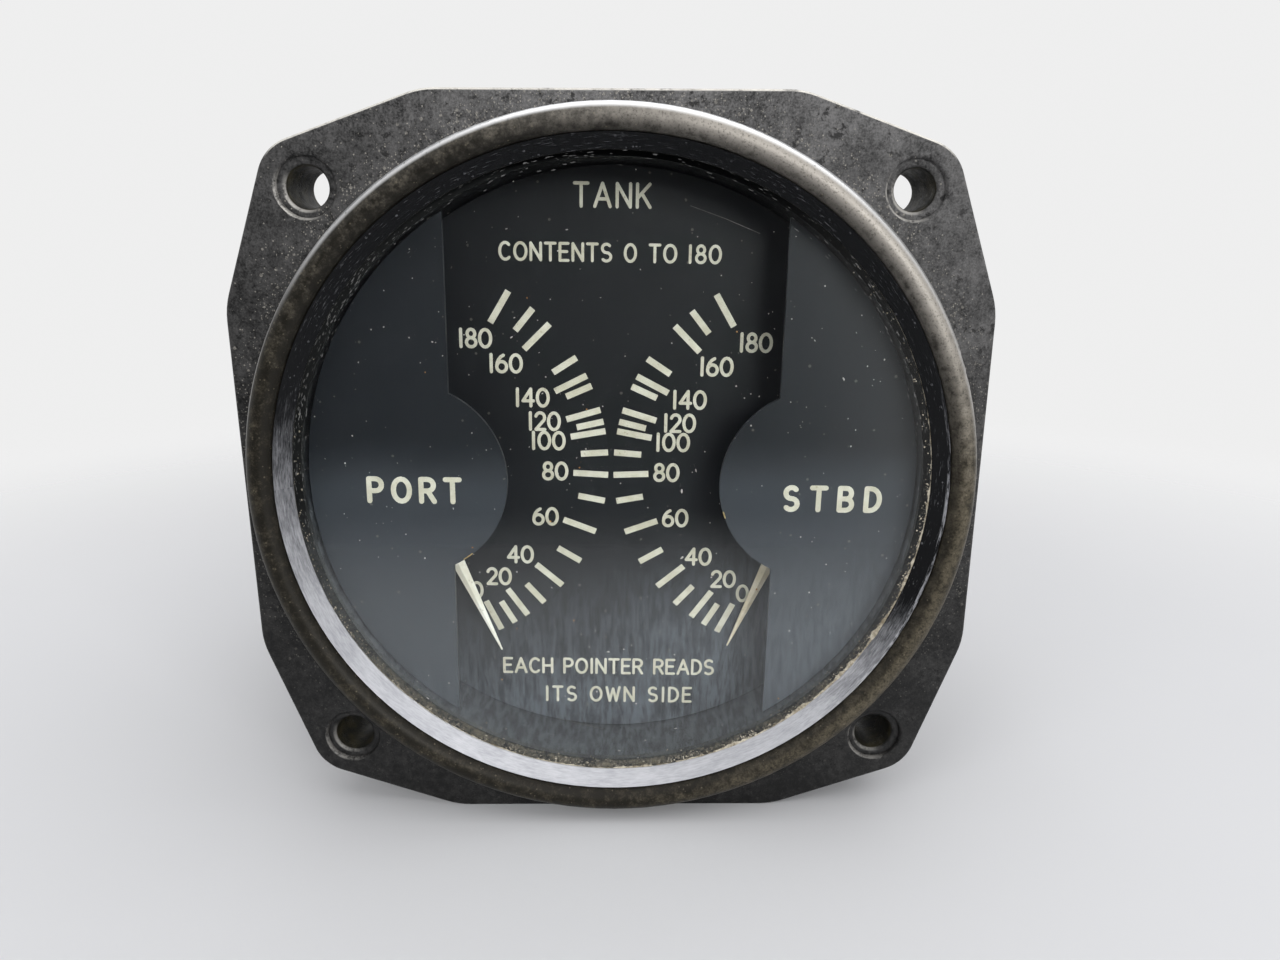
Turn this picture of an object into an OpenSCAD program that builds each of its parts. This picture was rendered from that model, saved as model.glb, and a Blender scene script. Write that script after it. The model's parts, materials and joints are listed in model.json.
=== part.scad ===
// Two-pointer fuel quantity gauge for an aircraft panel.
// X runs to the right, Y from the glass into the case, Z up.
// The origin is the centre of the four panel screw holes, on the front face of the flange.

/* [Flange] */
// Width across the flats of the flange
flange_flats = 82; // [80.5:0.5:88]
// Length of each of the four flats
flat_len = 38.5; // [30:0.5:44]
// Spacing of the panel screw holes, the same both ways
hole_spacing = 62.87; // [61:0.01:66]
// Diameter of the panel screw holes
hole_d = 4.34; // [3.6:0.01:5]
// Diameter of the shallow counterbore in front of each hole
counterbore_d = 6.2; // [5.4:0.1:7.5]
// Depth of the counterbore
counterbore_depth = 0.6; // [0.3:0.1:2]
// Corner radius round each hole
corner_r = 5; // [4.2:0.1:6.5]
// Thickness of the flange
flange_t = 9.5; // [8.5:0.1:12]

/* [Bezel and glass] */
// Outer diameter of the bezel ring, which locates in the panel hole
bezel_d = 79; // [78.4:0.1:79.6]
// Radius of the bezel ring's half-round bead
bead_r = 1.42; // [1:0.02:1.56]
// Height of the bezel ring's straight wall under the bead
bezel_wall_h = 2.5; // [2:0.1:4]
// Depth of the tongue that seats the bezel ring in the flange
tongue_depth = 2; // [1:0.1:4]
// Thickness of the tongue
tongue_t = 1; // [0.6:0.1:1.4]
// How far the glass stands in front of the flange face
glass_proud = 1.16; // [0.4:0.02:1.8]
// Thickness of the glass
glass_t = 2; // [1.5:0.1:2.4]
// Thickness of the gasket behind the glass
gasket_t = 0.76; // [0.5:0.02:1.2]
// Radial width of the bevelled ring in front of the glass
bevel_w = 1.5; // [1:0.05:2]
// Height of the bevelled ring
bevel_h = 1.77; // [1:0.01:2.2]
// Thickness of the bevelled ring's inner lip
bevel_lip = 0.15; // [0.1:0.05:0.4]
// Width of the bead of sealant on the glass
sealant_w = 0.4; // [0.2:0.05:0.8]
// Radial width of the ledge that carries the gasket
ledge_w = 1.4; // [1:0.1:1.7]

/* [Dial and masks] */
// Turn of the whole movement in its case, clockwise from the front
dial_turn = 0.8; // [0:0.1:3]
// Distance from the ledge to the front of the masks
mask_gap = 0.8; // [0.5:0.1:2]
// Thickness of the masks
mask_t = 0.6; // [0.4:0.1:1]
// Distance from the back of the masks to the dial
dial_gap = 5.4; // [4.8:0.1:7]
// Thickness of the dial plate
dial_t = 0.8; // [0.5:0.1:1.5]
// Distance between the straight edges of the two masks
mask_opening = 36.8; // [34:0.1:42]
// Radius of the round lobe on each mask
lobe_r = 11.1; // [10:0.05:13]
// Distance of each lobe's centre from the middle of the dial
lobe_x = 23.15; // [22:0.05:25]
// Height of each lobe's centre, measured from the middle of the dial
lobe_z = -0.45; // [-1:0.05:1]
// Radius of the pillars that carry the masks
pillar_r = 2.2; // [1.8:0.1:2.6]
// Angle of the pillars and lugs above and below the horizontal
lug_angle = 35.4; // [30:0.2:40]
// Distance of the pillars and lugs in from the case bore
lug_inset = 2.7; // [2.4:0.1:3.4]
// Radius of the lugs
lug_r = 3.2; // [2.8:0.1:4]
// Width of the web that joins each lug to the spigot
lug_web = 5.4; // [3:0.1:5.4]

/* [Pointers] */
// Distance between the two pointer pivots
pivot_spacing = 48; // [47:0.1:48.6]
// Height of the pivots, measured from the middle of the dial
pivot_z = 0.1; // [-1:0.05:1]
// Length of the left pointer from its pivot to its tip
left_needle_len = 25.4; // [20:0.1:27]
// Length of the right pointer from its pivot to its tip
right_needle_len = 24.8; // [20:0.1:27]
// Width of a pointer at its hub
needle_w = 3; // [1.6:0.1:3.4]
// Width of a pointer at its tip
tip_w = 0.12; // [0.1:0.02:0.5]
// Thickness of a pointer along its ridge, at its hub
needle_t = 0.6; // [0.5:0.05:0.8]
// Thickness of a pointer along its ridge, at its tip
tip_t = 0.25; // [0.15:0.05:0.5]
// Fall of the ridge for each millimetre to the side
crown_slope = 0.28; // [0.1:0.02:0.35]
// Distance of the left pointer's back from the dial
left_lift = 1.6; // [1.5:0.1:2.6]
// Distance of the right pointer's back from the dial
right_lift = 0.5; // [0.4:0.1:0.6]
// Angle of the left pointer below the horizontal, at rest
left_rest = 66.1; // [60:0.1:72]
// Angle of the right pointer below the horizontal, at rest
right_rest = 67.1; // [60:0.1:72]
// Swing of each pointer from rest to full
travel = 131; // [120:1:134]
// Length of a pointer's tail to the centre of its weight
tail_len = 7; // [6.6:0.1:8]
// Radius of the weight on the tail
weight_r = 1.9; // [1:0.1:2]
// Height of the weight above the ridge of its pointer
weight_rise = 0.8; // [0.4:0.1:1.2]

/* [Movements] */
// Radius of the staffs
staff_r = 0.6; // [0.4:0.05:0.8]
// Radius of the pivot at the back end of a staff
pivot_r = 0.35; // [0.2:0.05:0.38]
// Running clearance of the staffs in their bearings
run_fit = 0.03; // [0.01:0.01:0.08]
// Radius of the rotor magnets
rotor_r = 4.9; // [3.5:0.1:5.2]
// Length of the rotor magnets
rotor_len = 3.6; // [2.5:0.1:4]
// Clearance all round a rotor magnet
rotor_gap = 0.7; // [0.4:0.05:1]
// Wall of the bobbins
bobbin_wall = 1; // [0.8:0.1:1.6]
// Thickness of the coil windings
coil_t = 1.05; // [0.6:0.05:1.4]
// Width of each half of a coil
coil_w = 2.5; // [1.5:0.1:2.7]
// Width of the bobbins' corner posts
post_w = 3.2; // [2.6:0.1:3.4]
// Wall of the shield cans
shield_t = 0.6; // [0.4:0.1:0.7]

/* [Frame and case] */
// Distance of the movement plate behind the flange
lug_behind = 4.5; // [4.2:0.1:7]
// Thickness of the movement plate
plate_t = 2; // [1.5:0.1:3]
// Length of the posts between the movement plate and the terminal board
board_post_len = 22; // [18:0.5:28]
// Distance of each calibrating resistor from the middle of the board
spool_x = 18; // [15:0.5:22]
// Thickness of the terminal board
board_t = 1.6; // [1:0.1:2.4]
// Length of the case behind the flange
case_len = 52; // [46:0.1:62]
// Wall of the flange's back spigot
spigot_wall = 1.8; // [1.4:0.1:2.4]
// Wall of the case
can_wall = 1.5; // [1:0.1:2]
// Radius of the rounded back edge of the case
can_edge_r = 3; // [2.2:0.1:5]
// Radius of the small screws
screw_r = 1; // [0.8:0.05:1.2]

/* [Connector] */
// Outer diameter of the connector's barrel
barrel_d = 22.22; // [20:0.01:23]
// Wall of the barrel
barrel_wall = 1.21; // [0.8:0.01:1.6]
// Length of the barrel behind its flange
barrel_len = 14; // [12.5:0.1:18]
// Width of the connector's square flange
conn_flange = 30.2; // [29:0.1:34]
// Thickness of the connector's flange
conn_flange_t = 3; // [2:0.1:4]
// Spacing of the connector's screws
conn_spacing = 23; // [22.4:0.1:25]
// Radius of the contact pins
pin_r = 0.79; // [0.6:0.01:1]
// Radius of the circle of contacts
pin_circle_r = 5; // [4:0.1:6.4]
// Length of the contact pins beyond the insert
pin_len = 5; // [3:0.1:6]

/* [Hidden] */
$fn = 64;
left = -1;
right = 1;
cut = 1;
fit = 0.05;
loose = 0.2;
snug = 0.02;
hole_fit = 0.1;
gap = 0.3;
contacts = 5;
arc_steps = 10;

// Radii, worked out from the bezel ring inwards and then out to the case
bezel_r = bezel_d / 2;
bead_inner_r = bezel_r - 2 * bead_r;
tongue_inner_r = bezel_r - bead_r - tongue_t / 2;
bevel_outer_r = bead_inner_r - fit;
window_r = bevel_outer_r - bevel_w;
glass_clear = 0.6;
glass_r = bevel_outer_r - glass_clear;
bore_r = glass_r - ledge_w;
dial_r = bore_r - gap;
spigot_r = bore_r + spigot_wall;
can_inner_r = spigot_r + hole_fit;
can_r = can_inner_r + can_wall;
plate_r = bore_r - loose;
lug_circle_r = bore_r - lug_inset;

// Depths, from the glass to the back of the connector
glass_back = glass_t - glass_proud;
ledge_y = glass_back + gasket_t;
mask_y = ledge_y + mask_gap;
mask_back = mask_y + mask_t;
dial_y = mask_back + dial_gap;
dial_back = dial_y + dial_t;
plate_y = flange_t + lug_behind;
plate_back = plate_y + plate_t;
spigot_end = plate_y + plate_t / 2;
board_y = plate_back + board_post_len;
board_back = board_y + board_t;
can_end = flange_t + case_len;
can_inner_end = can_end - can_wall;
conn_gasket_t = 1;
conn_y = can_end + conn_gasket_t;
conn_flange_back = conn_y + conn_flange_t;
barrel_end = conn_flange_back + barrel_len;
mouth_depth = 6;
insert_back = barrel_end - mouth_depth - pin_len;
conn_inner_len = 7;
insert_front = conn_y - conn_inner_len;
tail_pin_len = 5;
tail_pin_end = insert_front - tail_pin_len;

// The dial's layout and the movements are drawn for one radius and follow the dial's real one
layout_r = 34.31;
layout_scale = dial_r / layout_r;
pivot_x = layout_scale * pivot_spacing / 2;
opening_w = layout_scale * mask_opening;
lobe_rad = layout_scale * lobe_r;
lobe_pos = layout_scale * [lobe_x, lobe_z];
left_reach = layout_scale * left_needle_len;
right_reach = layout_scale * right_needle_len;
magnet_r = layout_scale * rotor_r;
winding_w = layout_scale * coil_w;
corner_w = layout_scale * post_w;
spool_pos = layout_scale * spool_x;

// Pointers and their stops
left_needle_back = dial_y - left_lift;
right_needle_back = dial_y - right_lift;
hub_r = 1.8;
hub_front = 0.2;
hub_rear = 0.8;
tail_w = 1.6;
stop_r = 0.5;
stop_circle_r = 4.4;
stop_reach = 0.5;
stop_angle = asin((tail_w / 2 + stop_r + gap) / stop_circle_r);
staff_hole_r = 3;

// Movement, as depths behind the movement plate
coil_fit = 0.1;
chamber_r = magnet_r + rotor_gap;
core_r = chamber_r + bobbin_wall;
boss_r = 1.5;
coil_gap = boss_r + loose;
coil_inner = core_r + coil_fit;
coil_outer = coil_inner + coil_t;
outer_coil_y = coil_fit;
inner_coil_y = outer_coil_y + coil_t + coil_fit;
core_y = inner_coil_y + coil_t + coil_fit;
end_wall = 1.6;
chamber_y = core_y + end_wall;
chamber_end = chamber_y + rotor_len + 2 * rotor_gap;
core_end = chamber_end + end_wall;
bobbin_len = core_end + core_y;
split_y = bobbin_len / 2;
rotor_y = chamber_y + rotor_gap;
post_in = coil_gap + winding_w + coil_fit;
post_out = post_in + corner_w;
shield_clear = 0.5;
shield_inner_r = post_out * sqrt(2) + shield_clear;
shield_r = shield_inner_r + shield_t;
bearing_r = 1;
boss_out = 1;
boss_front = plate_t + boss_out;
boss_back = 2;
boss_rear = core_end + boss_back;
jewel_len = 1.2;
jewel_y = boss_rear - loose - jewel_len;
pivot_len = 0.8;
collar_r = 1.2;
collar_t = 0.4;
return_magnet_w = 1.6;
return_magnet_h = 2;
ear_r = 2.6;
ear_t = 0.8;
ear_lap = 0.3;
ear_circle_r = shield_r + ear_r - ear_lap;
ear_angle = 75;

// Fasteners, posts, board and connector details
head_r = 1.9 * screw_r;
head_h = 1.4 * screw_r;
slot_w = 0.5 * screw_r;
screw_hole_r = screw_r + hole_fit;
tapped_r = screw_r + snug;
thread_len = 6;
pillar_bore = 3.8;
pillar_screw = 3.2;
board_post_r = 2.4;
board_post_inset = 6.7;
board_post_circle_r = bore_r - board_post_inset;
board_post_angle = 69;
board_inset = 0.4;
board_r = plate_r - board_inset;
spool_r = 5;
spool_len = 9;
spool_core_r = 2.5;
spool_flange_t = 1;
terminal_r = 0.9;
terminal_reach = 2;
wire_r = 0.4;
tail_pin_step = 0.3;
tail_pin_r = pin_r + tail_pin_step;
barrel_r = barrel_d / 2;
socket_r = barrel_r - barrel_wall;
insert_r = socket_r - fit;
conn_hole_r = barrel_r + loose;
conn_corner_r = 3;
conn_screw_r = 1.5;
conn_head_r = 2.4;
conn_head_h = 1.8;
conn_screw_reach = 2;
conn_screw_len = conn_flange_t + conn_gasket_t + can_wall + conn_screw_reach;
key_w = 1.5;
key_h = 0.8;
case_screw_y = flange_t + lug_behind / 2;
case_screw_reach = 0.6;
case_screw_len = can_r - bore_r + case_screw_reach;

// Extrudes an X-Z outline from depth y0 to depth y1
module slab(y0, y1) {
    translate([0, y1, 0])
        rotate([90, 0, 0])
            linear_extrude(y1 - y0) children();
}

// Spins a radius-depth outline about the Y axis
module spun() {
    rotate([-90, 0, 0])
        rotate_extrude() children();
}

// Round bar on the Y axis from depth y0 to depth y1
module rod(r, y0, y1) {
    translate([0, y0, 0])
        rotate([-90, 0, 0])
            cylinder(r = r, h = y1 - y0);
}

// Flat ring on the Y axis
module ring(outer_r, inner_r, y0, y1) {
    difference() {
        rod(outer_r, y0, y1);
        rod(inner_r, y0 - cut, y1 + cut);
    }
}

module rounded_rect(w, h, r) {
    square([w - 2 * r, h], center = true);
    square([w, h - 2 * r], center = true);
    for (x = [-1, 1], y = [-1, 1])
        translate([x * (w / 2 - r), y * (h / 2 - r)]) circle(r);
}

// The dial and all behind it are turned a little in the case
module turned() {
    rotate([0, dial_turn, 0]) children();
}

module at_pivot(side) {
    turned()
        translate([side * pivot_x, 0, pivot_z]) children();
}

// Origin of a movement: on its pivot, at the back of the movement plate
module at_movement(side) {
    at_pivot(side)
        translate([0, plate_back, 0]) children();
}

// Four places on a circle, alike in each quarter
module at_quarters(r, angle) {
    turned()
        for (x = [-1, 1], z = [-1, 1])
            translate([x * r * cos(angle), 0, z * r * sin(angle)]) children();
}

module at_lugs() {
    at_quarters(lug_circle_r, lug_angle) children();
}

module at_board_posts() {
    at_quarters(board_post_circle_r, board_post_angle) children();
}

module at_ears() {
    for (side = [left, right], z = [-1, 1])
        at_pivot(side)
            translate([-side * ear_circle_r * cos(ear_angle), 0, z * ear_circle_r * sin(ear_angle)])
                children();
}

// Radial axes of the screws that hold the case on the flange casting
module at_case_screws() {
    turned()
        for (angle = [lug_angle, -lug_angle, 180 - lug_angle, 180 + lug_angle])
            rotate([0, angle, 0])
                translate([0, case_screw_y, 0])
                    rotate([0, 90, 0]) children();
}

module at_contacts() {
    for (i = [0 : contacts - 1])
        rotate([0, i * 360 / contacts, 0])
            translate([0, 0, pin_circle_r]) children();
}

module at_conn_screws() {
    for (x = [-1, 1], z = [-1, 1])
        translate([x * conn_spacing / 2, 0, z * conn_spacing / 2]) children();
}

// Slotted screw on Z: its head stands on the plane z = 0 and its shank goes down
module slotted_screw(r, length, cap_r, cap_h) {
    difference() {
        union() {
            cylinder(r = cap_r, h = cap_h);
            translate([0, 0, -length]) cylinder(r = r, h = length + cap_h / 2);
        }
        translate([-cap_r - cut, -slot_w / 2, cap_h / 2])
            cube([2 * (cap_r + cut), slot_w, cap_h]);
    }
}

// Screw with its head facing the back of the gauge
module rear_screw(length) {
    rotate([-90, 0, 0]) slotted_screw(screw_r, length, head_r, head_h);
}

// Screw with its head facing the front of the gauge
module front_screw(length) {
    rotate([90, 0, 0]) slotted_screw(screw_r, length, head_r, head_h);
}

// One corner of the flange: the slanted edges run from the flats and touch the arc round the hole
function flange_corner() =
    let (
        c = hole_spacing / 2,
        dx = flat_len / 2 - c,
        dz = flange_flats / 2 - c,
        touch = atan2(dz, dx) - acos(corner_r / norm([dx, dz]))
    )
    [
        [flange_flats / 2, flat_len / 2],
        for (i = [0 : arc_steps])
            let (a = 90 - touch + (2 * touch - 90) * i / arc_steps)
            [c + corner_r * cos(a), c + corner_r * sin(a)],
        [flat_len / 2, flange_flats / 2]
    ];

module flange_outline() {
    corner = flange_corner();
    polygon([
        for (quarter = [0 : 3], p = corner)
            let (a = 90 * quarter)
            [p.x * cos(a) - p.y * sin(a), p.x * sin(a) + p.y * cos(a)]
    ]);
}

// Lugs inside the spigot, each a round boss with a web to the wall
module lugs() {
    turned()
        slab(dial_back, plate_y)
            intersection() {
                circle(bore_r + spigot_wall / 2);
                for (x = [-1, 1], z = [-1, 1])
                    translate([x * lug_circle_r * cos(lug_angle), z * lug_circle_r * sin(lug_angle)]) {
                        circle(lug_r);
                        rotate(x * z * lug_angle + 90 - x * 90)
                            translate([0, -lug_web / 2]) square([2 * lug_inset, lug_web]);
                    }
            }
}

module flange_casting() {
    color("#26282a")
        difference() {
            union() {
                difference() {
                    union() {
                        slab(0, flange_t) flange_outline();
                        rod(spigot_r, flange_t / 2, spigot_end);
                    }
                    rod(bore_r, -cut, spigot_end + cut);
                    rod(glass_r + fit, -cut, ledge_y);
                    ring(tongue_inner_r + tongue_t + fit, tongue_inner_r - fit, -cut, tongue_depth + fit);
                }
                lugs();
            }
            for (x = [-1, 1], z = [-1, 1])
                translate([x * hole_spacing / 2, 0, z * hole_spacing / 2]) {
                    rod(hole_d / 2, -cut, flange_t + cut);
                    rod(counterbore_d / 2, -cut, counterbore_depth);
                }
            at_lugs() rod(screw_hole_r, dial_back - cut, plate_y + cut);
            at_case_screws()
                translate([0, 0, can_r - case_screw_len - loose])
                    cylinder(r = tapped_r, h = case_screw_len);
        }
}

module bezel_ring() {
    color("#6d675c")
        spun() {
            translate([bead_inner_r, -bezel_wall_h]) square([2 * bead_r, bezel_wall_h]);
            translate([bezel_r - bead_r, -bezel_wall_h]) circle(bead_r);
            translate([tongue_inner_r, -bezel_wall_h / 2]) square([tongue_t, tongue_depth + bezel_wall_h / 2]);
        }
}

module bevel_ring() {
    color("#8b8f93")
        spun()
            polygon([
                [window_r, -glass_proud],
                [bevel_outer_r, -glass_proud],
                [bevel_outer_r, -glass_proud - bevel_h],
                [window_r, -glass_proud - bevel_lip]
            ]);
}

module cover_glass() {
    color("#cfe0e6", 0.35) rod(glass_r, -glass_proud, glass_back);
}

module glass_gasket() {
    color("#2b2b2b") ring(glass_r, bore_r, glass_back, ledge_y);
}

module glass_sealant() {
    color("#d8cfae")
        spun()
            polygon([
                [window_r - sealant_w, -glass_proud],
                [window_r, -glass_proud],
                [window_r, -glass_proud - bevel_lip]
            ]);
}

module dial_plate() {
    color("#1b1d20")
        difference() {
            rod(dial_r, dial_y, dial_back);
            for (side = [left, right])
                at_pivot(side) rod(staff_hole_r, dial_y - cut, dial_back + cut);
            at_lugs() rod(screw_hole_r, dial_y - cut, dial_back + cut);
        }
}

// A raised plate over one pointer's hub: a segment of the dial with a round lobe
module mask(side) {
    turned()
        slab(mask_y, mask_back)
            intersection() {
                circle(dial_r);
                union() {
                    translate([side * (opening_w / 2 + dial_r / 2), 0])
                        square([dial_r, 2 * dial_r], center = true);
                    translate([side * lobe_pos.x, lobe_pos.y]) circle(lobe_rad);
                }
            }
}

module left_mask() {
    color("#25282c") mask(left);
}

module right_mask() {
    color("#25282c") mask(right);
}

module mask_pillars() {
    color("#b59a55")
        at_lugs()
            difference() {
                rod(pillar_r, mask_back, dial_y);
                rod(tapped_r, dial_y - pillar_bore, dial_y + cut);
            }
}

// Pins on the dial that stop each pointer's tail at both ends of its swing
module stop_pins() {
    color("#b59a55") {
        for (end = [-stop_angle, travel + stop_angle]) {
            stop_pin(left, 180 - left_rest + end, left_needle_back);
            stop_pin(right, 180 - right_rest + end, right_needle_back);
        }
    }
}

module stop_pin(side, angle, needle_back) {
    at_pivot(side)
        translate([-side * stop_circle_r * cos(angle), 0, stop_circle_r * sin(angle)])
            rod(stop_r, needle_back - needle_t - stop_reach, dial_y);
}

// A pointer along +X with a crowned needle, a hub and a weighted tail
module pointer_form(needle_back, reach) {
    crown_w = needle_w / 2 + cut;
    ridge_fall = atan((needle_t - tip_t) / reach);
    difference() {
        union() {
            intersection() {
                slab(needle_back - needle_t, needle_back)
                    polygon([
                        [0, needle_w / 2],
                        [reach, tip_w / 2],
                        [reach, -tip_w / 2],
                        [0, -needle_w / 2]
                    ]);
                translate([0, needle_back, 0])
                    rotate([0, 0, ridge_fall])
                        rotate([90, 0, 90])
                            linear_extrude(reach + needle_t)
                                polygon([
                                    [cut, -crown_w],
                                    [crown_slope * crown_w - needle_t, -crown_w],
                                    [-needle_t, 0],
                                    [crown_slope * crown_w - needle_t, crown_w],
                                    [cut, crown_w]
                                ]);
            }
            slab(needle_back - needle_t / 2, needle_back)
                translate([-tail_len, -tail_w / 2]) square([tail_len, tail_w]);
            translate([-tail_len, 0, 0]) rod(weight_r, needle_back - needle_t - weight_rise, needle_back);
            rod(hub_r, needle_back - needle_t - hub_front, needle_back + hub_rear);
        }
        rod(staff_r + snug, needle_back - needle_t - hub_front - cut, needle_back + hub_rear + cut);
    }
}

module left_pointer() {
    color("#e6e2cf")
        at_pivot(left)
            rotate([0, left_rest, 0]) pointer_form(left_needle_back, left_reach);
}

module right_pointer() {
    color("#e6e2cf")
        at_pivot(right)
            rotate([0, -right_rest, 0])
                mirror([1, 0, 0]) pointer_form(right_needle_back, right_reach);
}

// Staff from the pointer's hub, through the rotor, to the back pivot
module staff(side, needle_back) {
    at_movement(side) {
        rod(staff_r, needle_back - needle_t - hub_front - plate_back, jewel_y - loose);
        rod(pivot_r, jewel_y - loose - cut, jewel_y + pivot_len - fit);
        rod(collar_r, rotor_y + rotor_len, rotor_y + rotor_len + collar_t);
    }
}

module left_staff() {
    color("silver") staff(left, left_needle_back);
}

module right_staff() {
    color("silver") staff(right, right_needle_back);
}

module rotor_magnet(side) {
    at_movement(side) ring(magnet_r, staff_r + snug, rotor_y, rotor_y + rotor_len);
}

module left_rotor_magnet() {
    color("#5b5e63") rotor_magnet(left);
}

module right_rotor_magnet() {
    color("#5b5e63") rotor_magnet(right);
}

module front_bushes() {
    color("#c8963e")
        for (side = [left, right])
            at_movement(side) ring(bearing_r, staff_r + run_fit, -boss_front, core_y);
}

module rear_jewels() {
    color("#b0203a")
        for (side = [left, right])
            at_movement(side)
                difference() {
                    rod(bearing_r, jewel_y, jewel_y + jewel_len);
                    rod(pivot_r + run_fit, jewel_y - cut, jewel_y + pivot_len);
                }
}

module bobbin_posts(y0, y1) {
    for (x = [-1, 1], z = [-1, 1])
        translate([x * (post_in + corner_w / 2), 0, z * (post_in + corner_w / 2)])
            slab(y0, y1) square(corner_w, center = true);
}

// Front half of a coil former: the boss holds the front bush and passes through the movement plate
module bobbin_front(side) {
    at_movement(side)
        difference() {
            union() {
                rod(core_r, core_y, split_y);
                rod(boss_r, -boss_front, core_y + fit);
                bobbin_posts(0, split_y);
            }
            rod(chamber_r, chamber_y, split_y + cut);
            rod(bearing_r + snug, -boss_front - cut, core_y);
            rod(staff_r + loose, core_y - cut, chamber_y + cut);
        }
}

// Back half of a coil former: the blind boss holds the jewel
module bobbin_rear(side) {
    at_movement(side)
        difference() {
            union() {
                rod(core_r, split_y, core_end);
                rod(boss_r, core_end - fit, boss_rear);
                bobbin_posts(split_y, bobbin_len);
            }
            rod(chamber_r, split_y - cut, chamber_end);
            rod(bearing_r + snug, chamber_end - cut, jewel_y + jewel_len);
        }
}

module left_bobbin_front() {
    color("#e4dcc4") bobbin_front(left);
}

module left_bobbin_rear() {
    color("#e4dcc4") bobbin_rear(left);
}

module right_bobbin_front() {
    color("#e4dcc4") bobbin_front(right);
}

module right_bobbin_rear() {
    color("#e4dcc4") bobbin_rear(right);
}

// One coil: two flat windings, one each side of the staff, wound end to end round the former
module coil(y0) {
    mid = bobbin_len / 2;
    for (z = [-coil_gap - winding_w, coil_gap])
        translate([0, mid, z])
            linear_extrude(winding_w)
                difference() {
                    rounded_rect(2 * coil_outer, bobbin_len - 2 * y0, coil_t);
                    square([2 * coil_inner, bobbin_len - 2 * (y0 + coil_t)], center = true);
                }
}

module inner_coil(side) {
    at_movement(side) coil(inner_coil_y);
}

// The outer coil crosses the inner one at a right angle
module outer_coil(side) {
    at_movement(side)
        rotate([0, 90, 0]) coil(outer_coil_y);
}

module left_inner_coil() {
    color("#a5562c") inner_coil(left);
}

module left_outer_coil() {
    color("#b5652f") outer_coil(left);
}

module right_inner_coil() {
    color("#a5562c") inner_coil(right);
}

module right_outer_coil() {
    color("#b5652f") outer_coil(right);
}

// Small bar magnets that draw the rotors back to rest
module return_magnets() {
    color("#5b5e63")
        for (side = [left, right])
            at_movement(side)
                translate([-side * (shield_inner_r - hole_fit - return_magnet_w / 2), split_y, 0])
                    cube([return_magnet_w, rotor_len, return_magnet_h], center = true);
}

module shield_can(side) {
    difference() {
        union() {
            at_movement(side) rod(shield_r, 0, bobbin_len + shield_t);
            for (z = [-1, 1])
                at_movement(side)
                    rotate([0, 90 + side * 90 - side * z * ear_angle, 0]) {
                        translate([ear_circle_r, 0, 0]) rod(ear_r, 0, ear_t);
                        translate([shield_inner_r, 0, -ear_r])
                            cube([ear_circle_r - shield_inner_r, ear_t, 2 * ear_r]);
                    }
        }
        at_movement(side) rod(shield_inner_r, -cut, bobbin_len);
        at_ears() rod(screw_hole_r, plate_back - cut, plate_back + ear_t + cut);
    }
}

module left_shield_can() {
    color("#9fa3a6") shield_can(left);
}

module right_shield_can() {
    color("#9fa3a6") shield_can(right);
}

module movement_plate() {
    color("#b9bcbe")
        difference() {
            rod(plate_r, plate_y, plate_back);
            for (side = [left, right])
                at_pivot(side) rod(boss_r + hole_fit, plate_y - cut, plate_back + cut);
            at_lugs() rod(screw_hole_r, plate_y - cut, plate_back + cut);
            at_ears() rod(tapped_r, plate_y - cut, plate_back + cut);
            at_board_posts() rod(screw_hole_r, plate_y - cut, plate_back + cut);
        }
}

// Long screws through the plate, the lugs and the dial into the mask pillars
module frame_screws() {
    color("silver")
        at_lugs()
            translate([0, plate_back, 0]) rear_screw(plate_back - dial_y + pillar_screw);
}

module shield_screws() {
    color("silver")
        at_ears()
            translate([0, plate_back + ear_t, 0]) rear_screw(ear_t + plate_t);
}

module board_posts() {
    color("#b59a55")
        at_board_posts()
            difference() {
                rod(board_post_r, plate_back, board_y);
                rod(tapped_r, plate_back - cut, plate_back + thread_len);
                rod(tapped_r, board_y - thread_len, board_y + cut);
            }
}

module post_screws() {
    color("silver")
        at_board_posts()
            translate([0, plate_y, 0]) front_screw(plate_t + thread_len - cut);
}

module terminal_board() {
    color("#7a4a2a")
        difference() {
            rod(board_r, board_y, board_back);
            at_board_posts() rod(screw_hole_r, board_y - cut, board_back + cut);
            at_contacts() rod(terminal_r + fit, board_y - cut, board_back + cut);
        }
}

module board_screws() {
    color("silver")
        at_board_posts()
            translate([0, board_back, 0]) rear_screw(board_t + thread_len - cut);
}

// Formers of the calibrating resistors
module resistor_spools() {
    color("#e4dcc4")
        for (x = [-spool_pos, spool_pos])
            translate([x, board_back, 0]) {
                rod(spool_core_r, 0, spool_len);
                rod(spool_r, 0, spool_flange_t);
                rod(spool_r, spool_len - spool_flange_t, spool_len);
            }
}

module resistor_windings() {
    color("#8f6a3c")
        for (x = [-spool_pos, spool_pos])
            translate([x, board_back, 0])
                ring(spool_r - gap, spool_core_r + fit, spool_flange_t + fit,
                     spool_len - spool_flange_t - fit);
}

module board_terminals() {
    color("#c8b06a")
        at_contacts() rod(terminal_r, board_y - terminal_reach, board_back + terminal_reach);
}

module lead_wires() {
    color("#a5562c")
        at_contacts() rod(wire_r, board_back + terminal_reach, tail_pin_end);
}

module can_section(r, y0, y1, edge_r) {
    translate([0, y0]) square([r, y1 - y0 - edge_r]);
    translate([0, y0]) square([r - edge_r, y1 - y0]);
    translate([r - edge_r, y1 - edge_r]) circle(edge_r);
}

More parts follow.
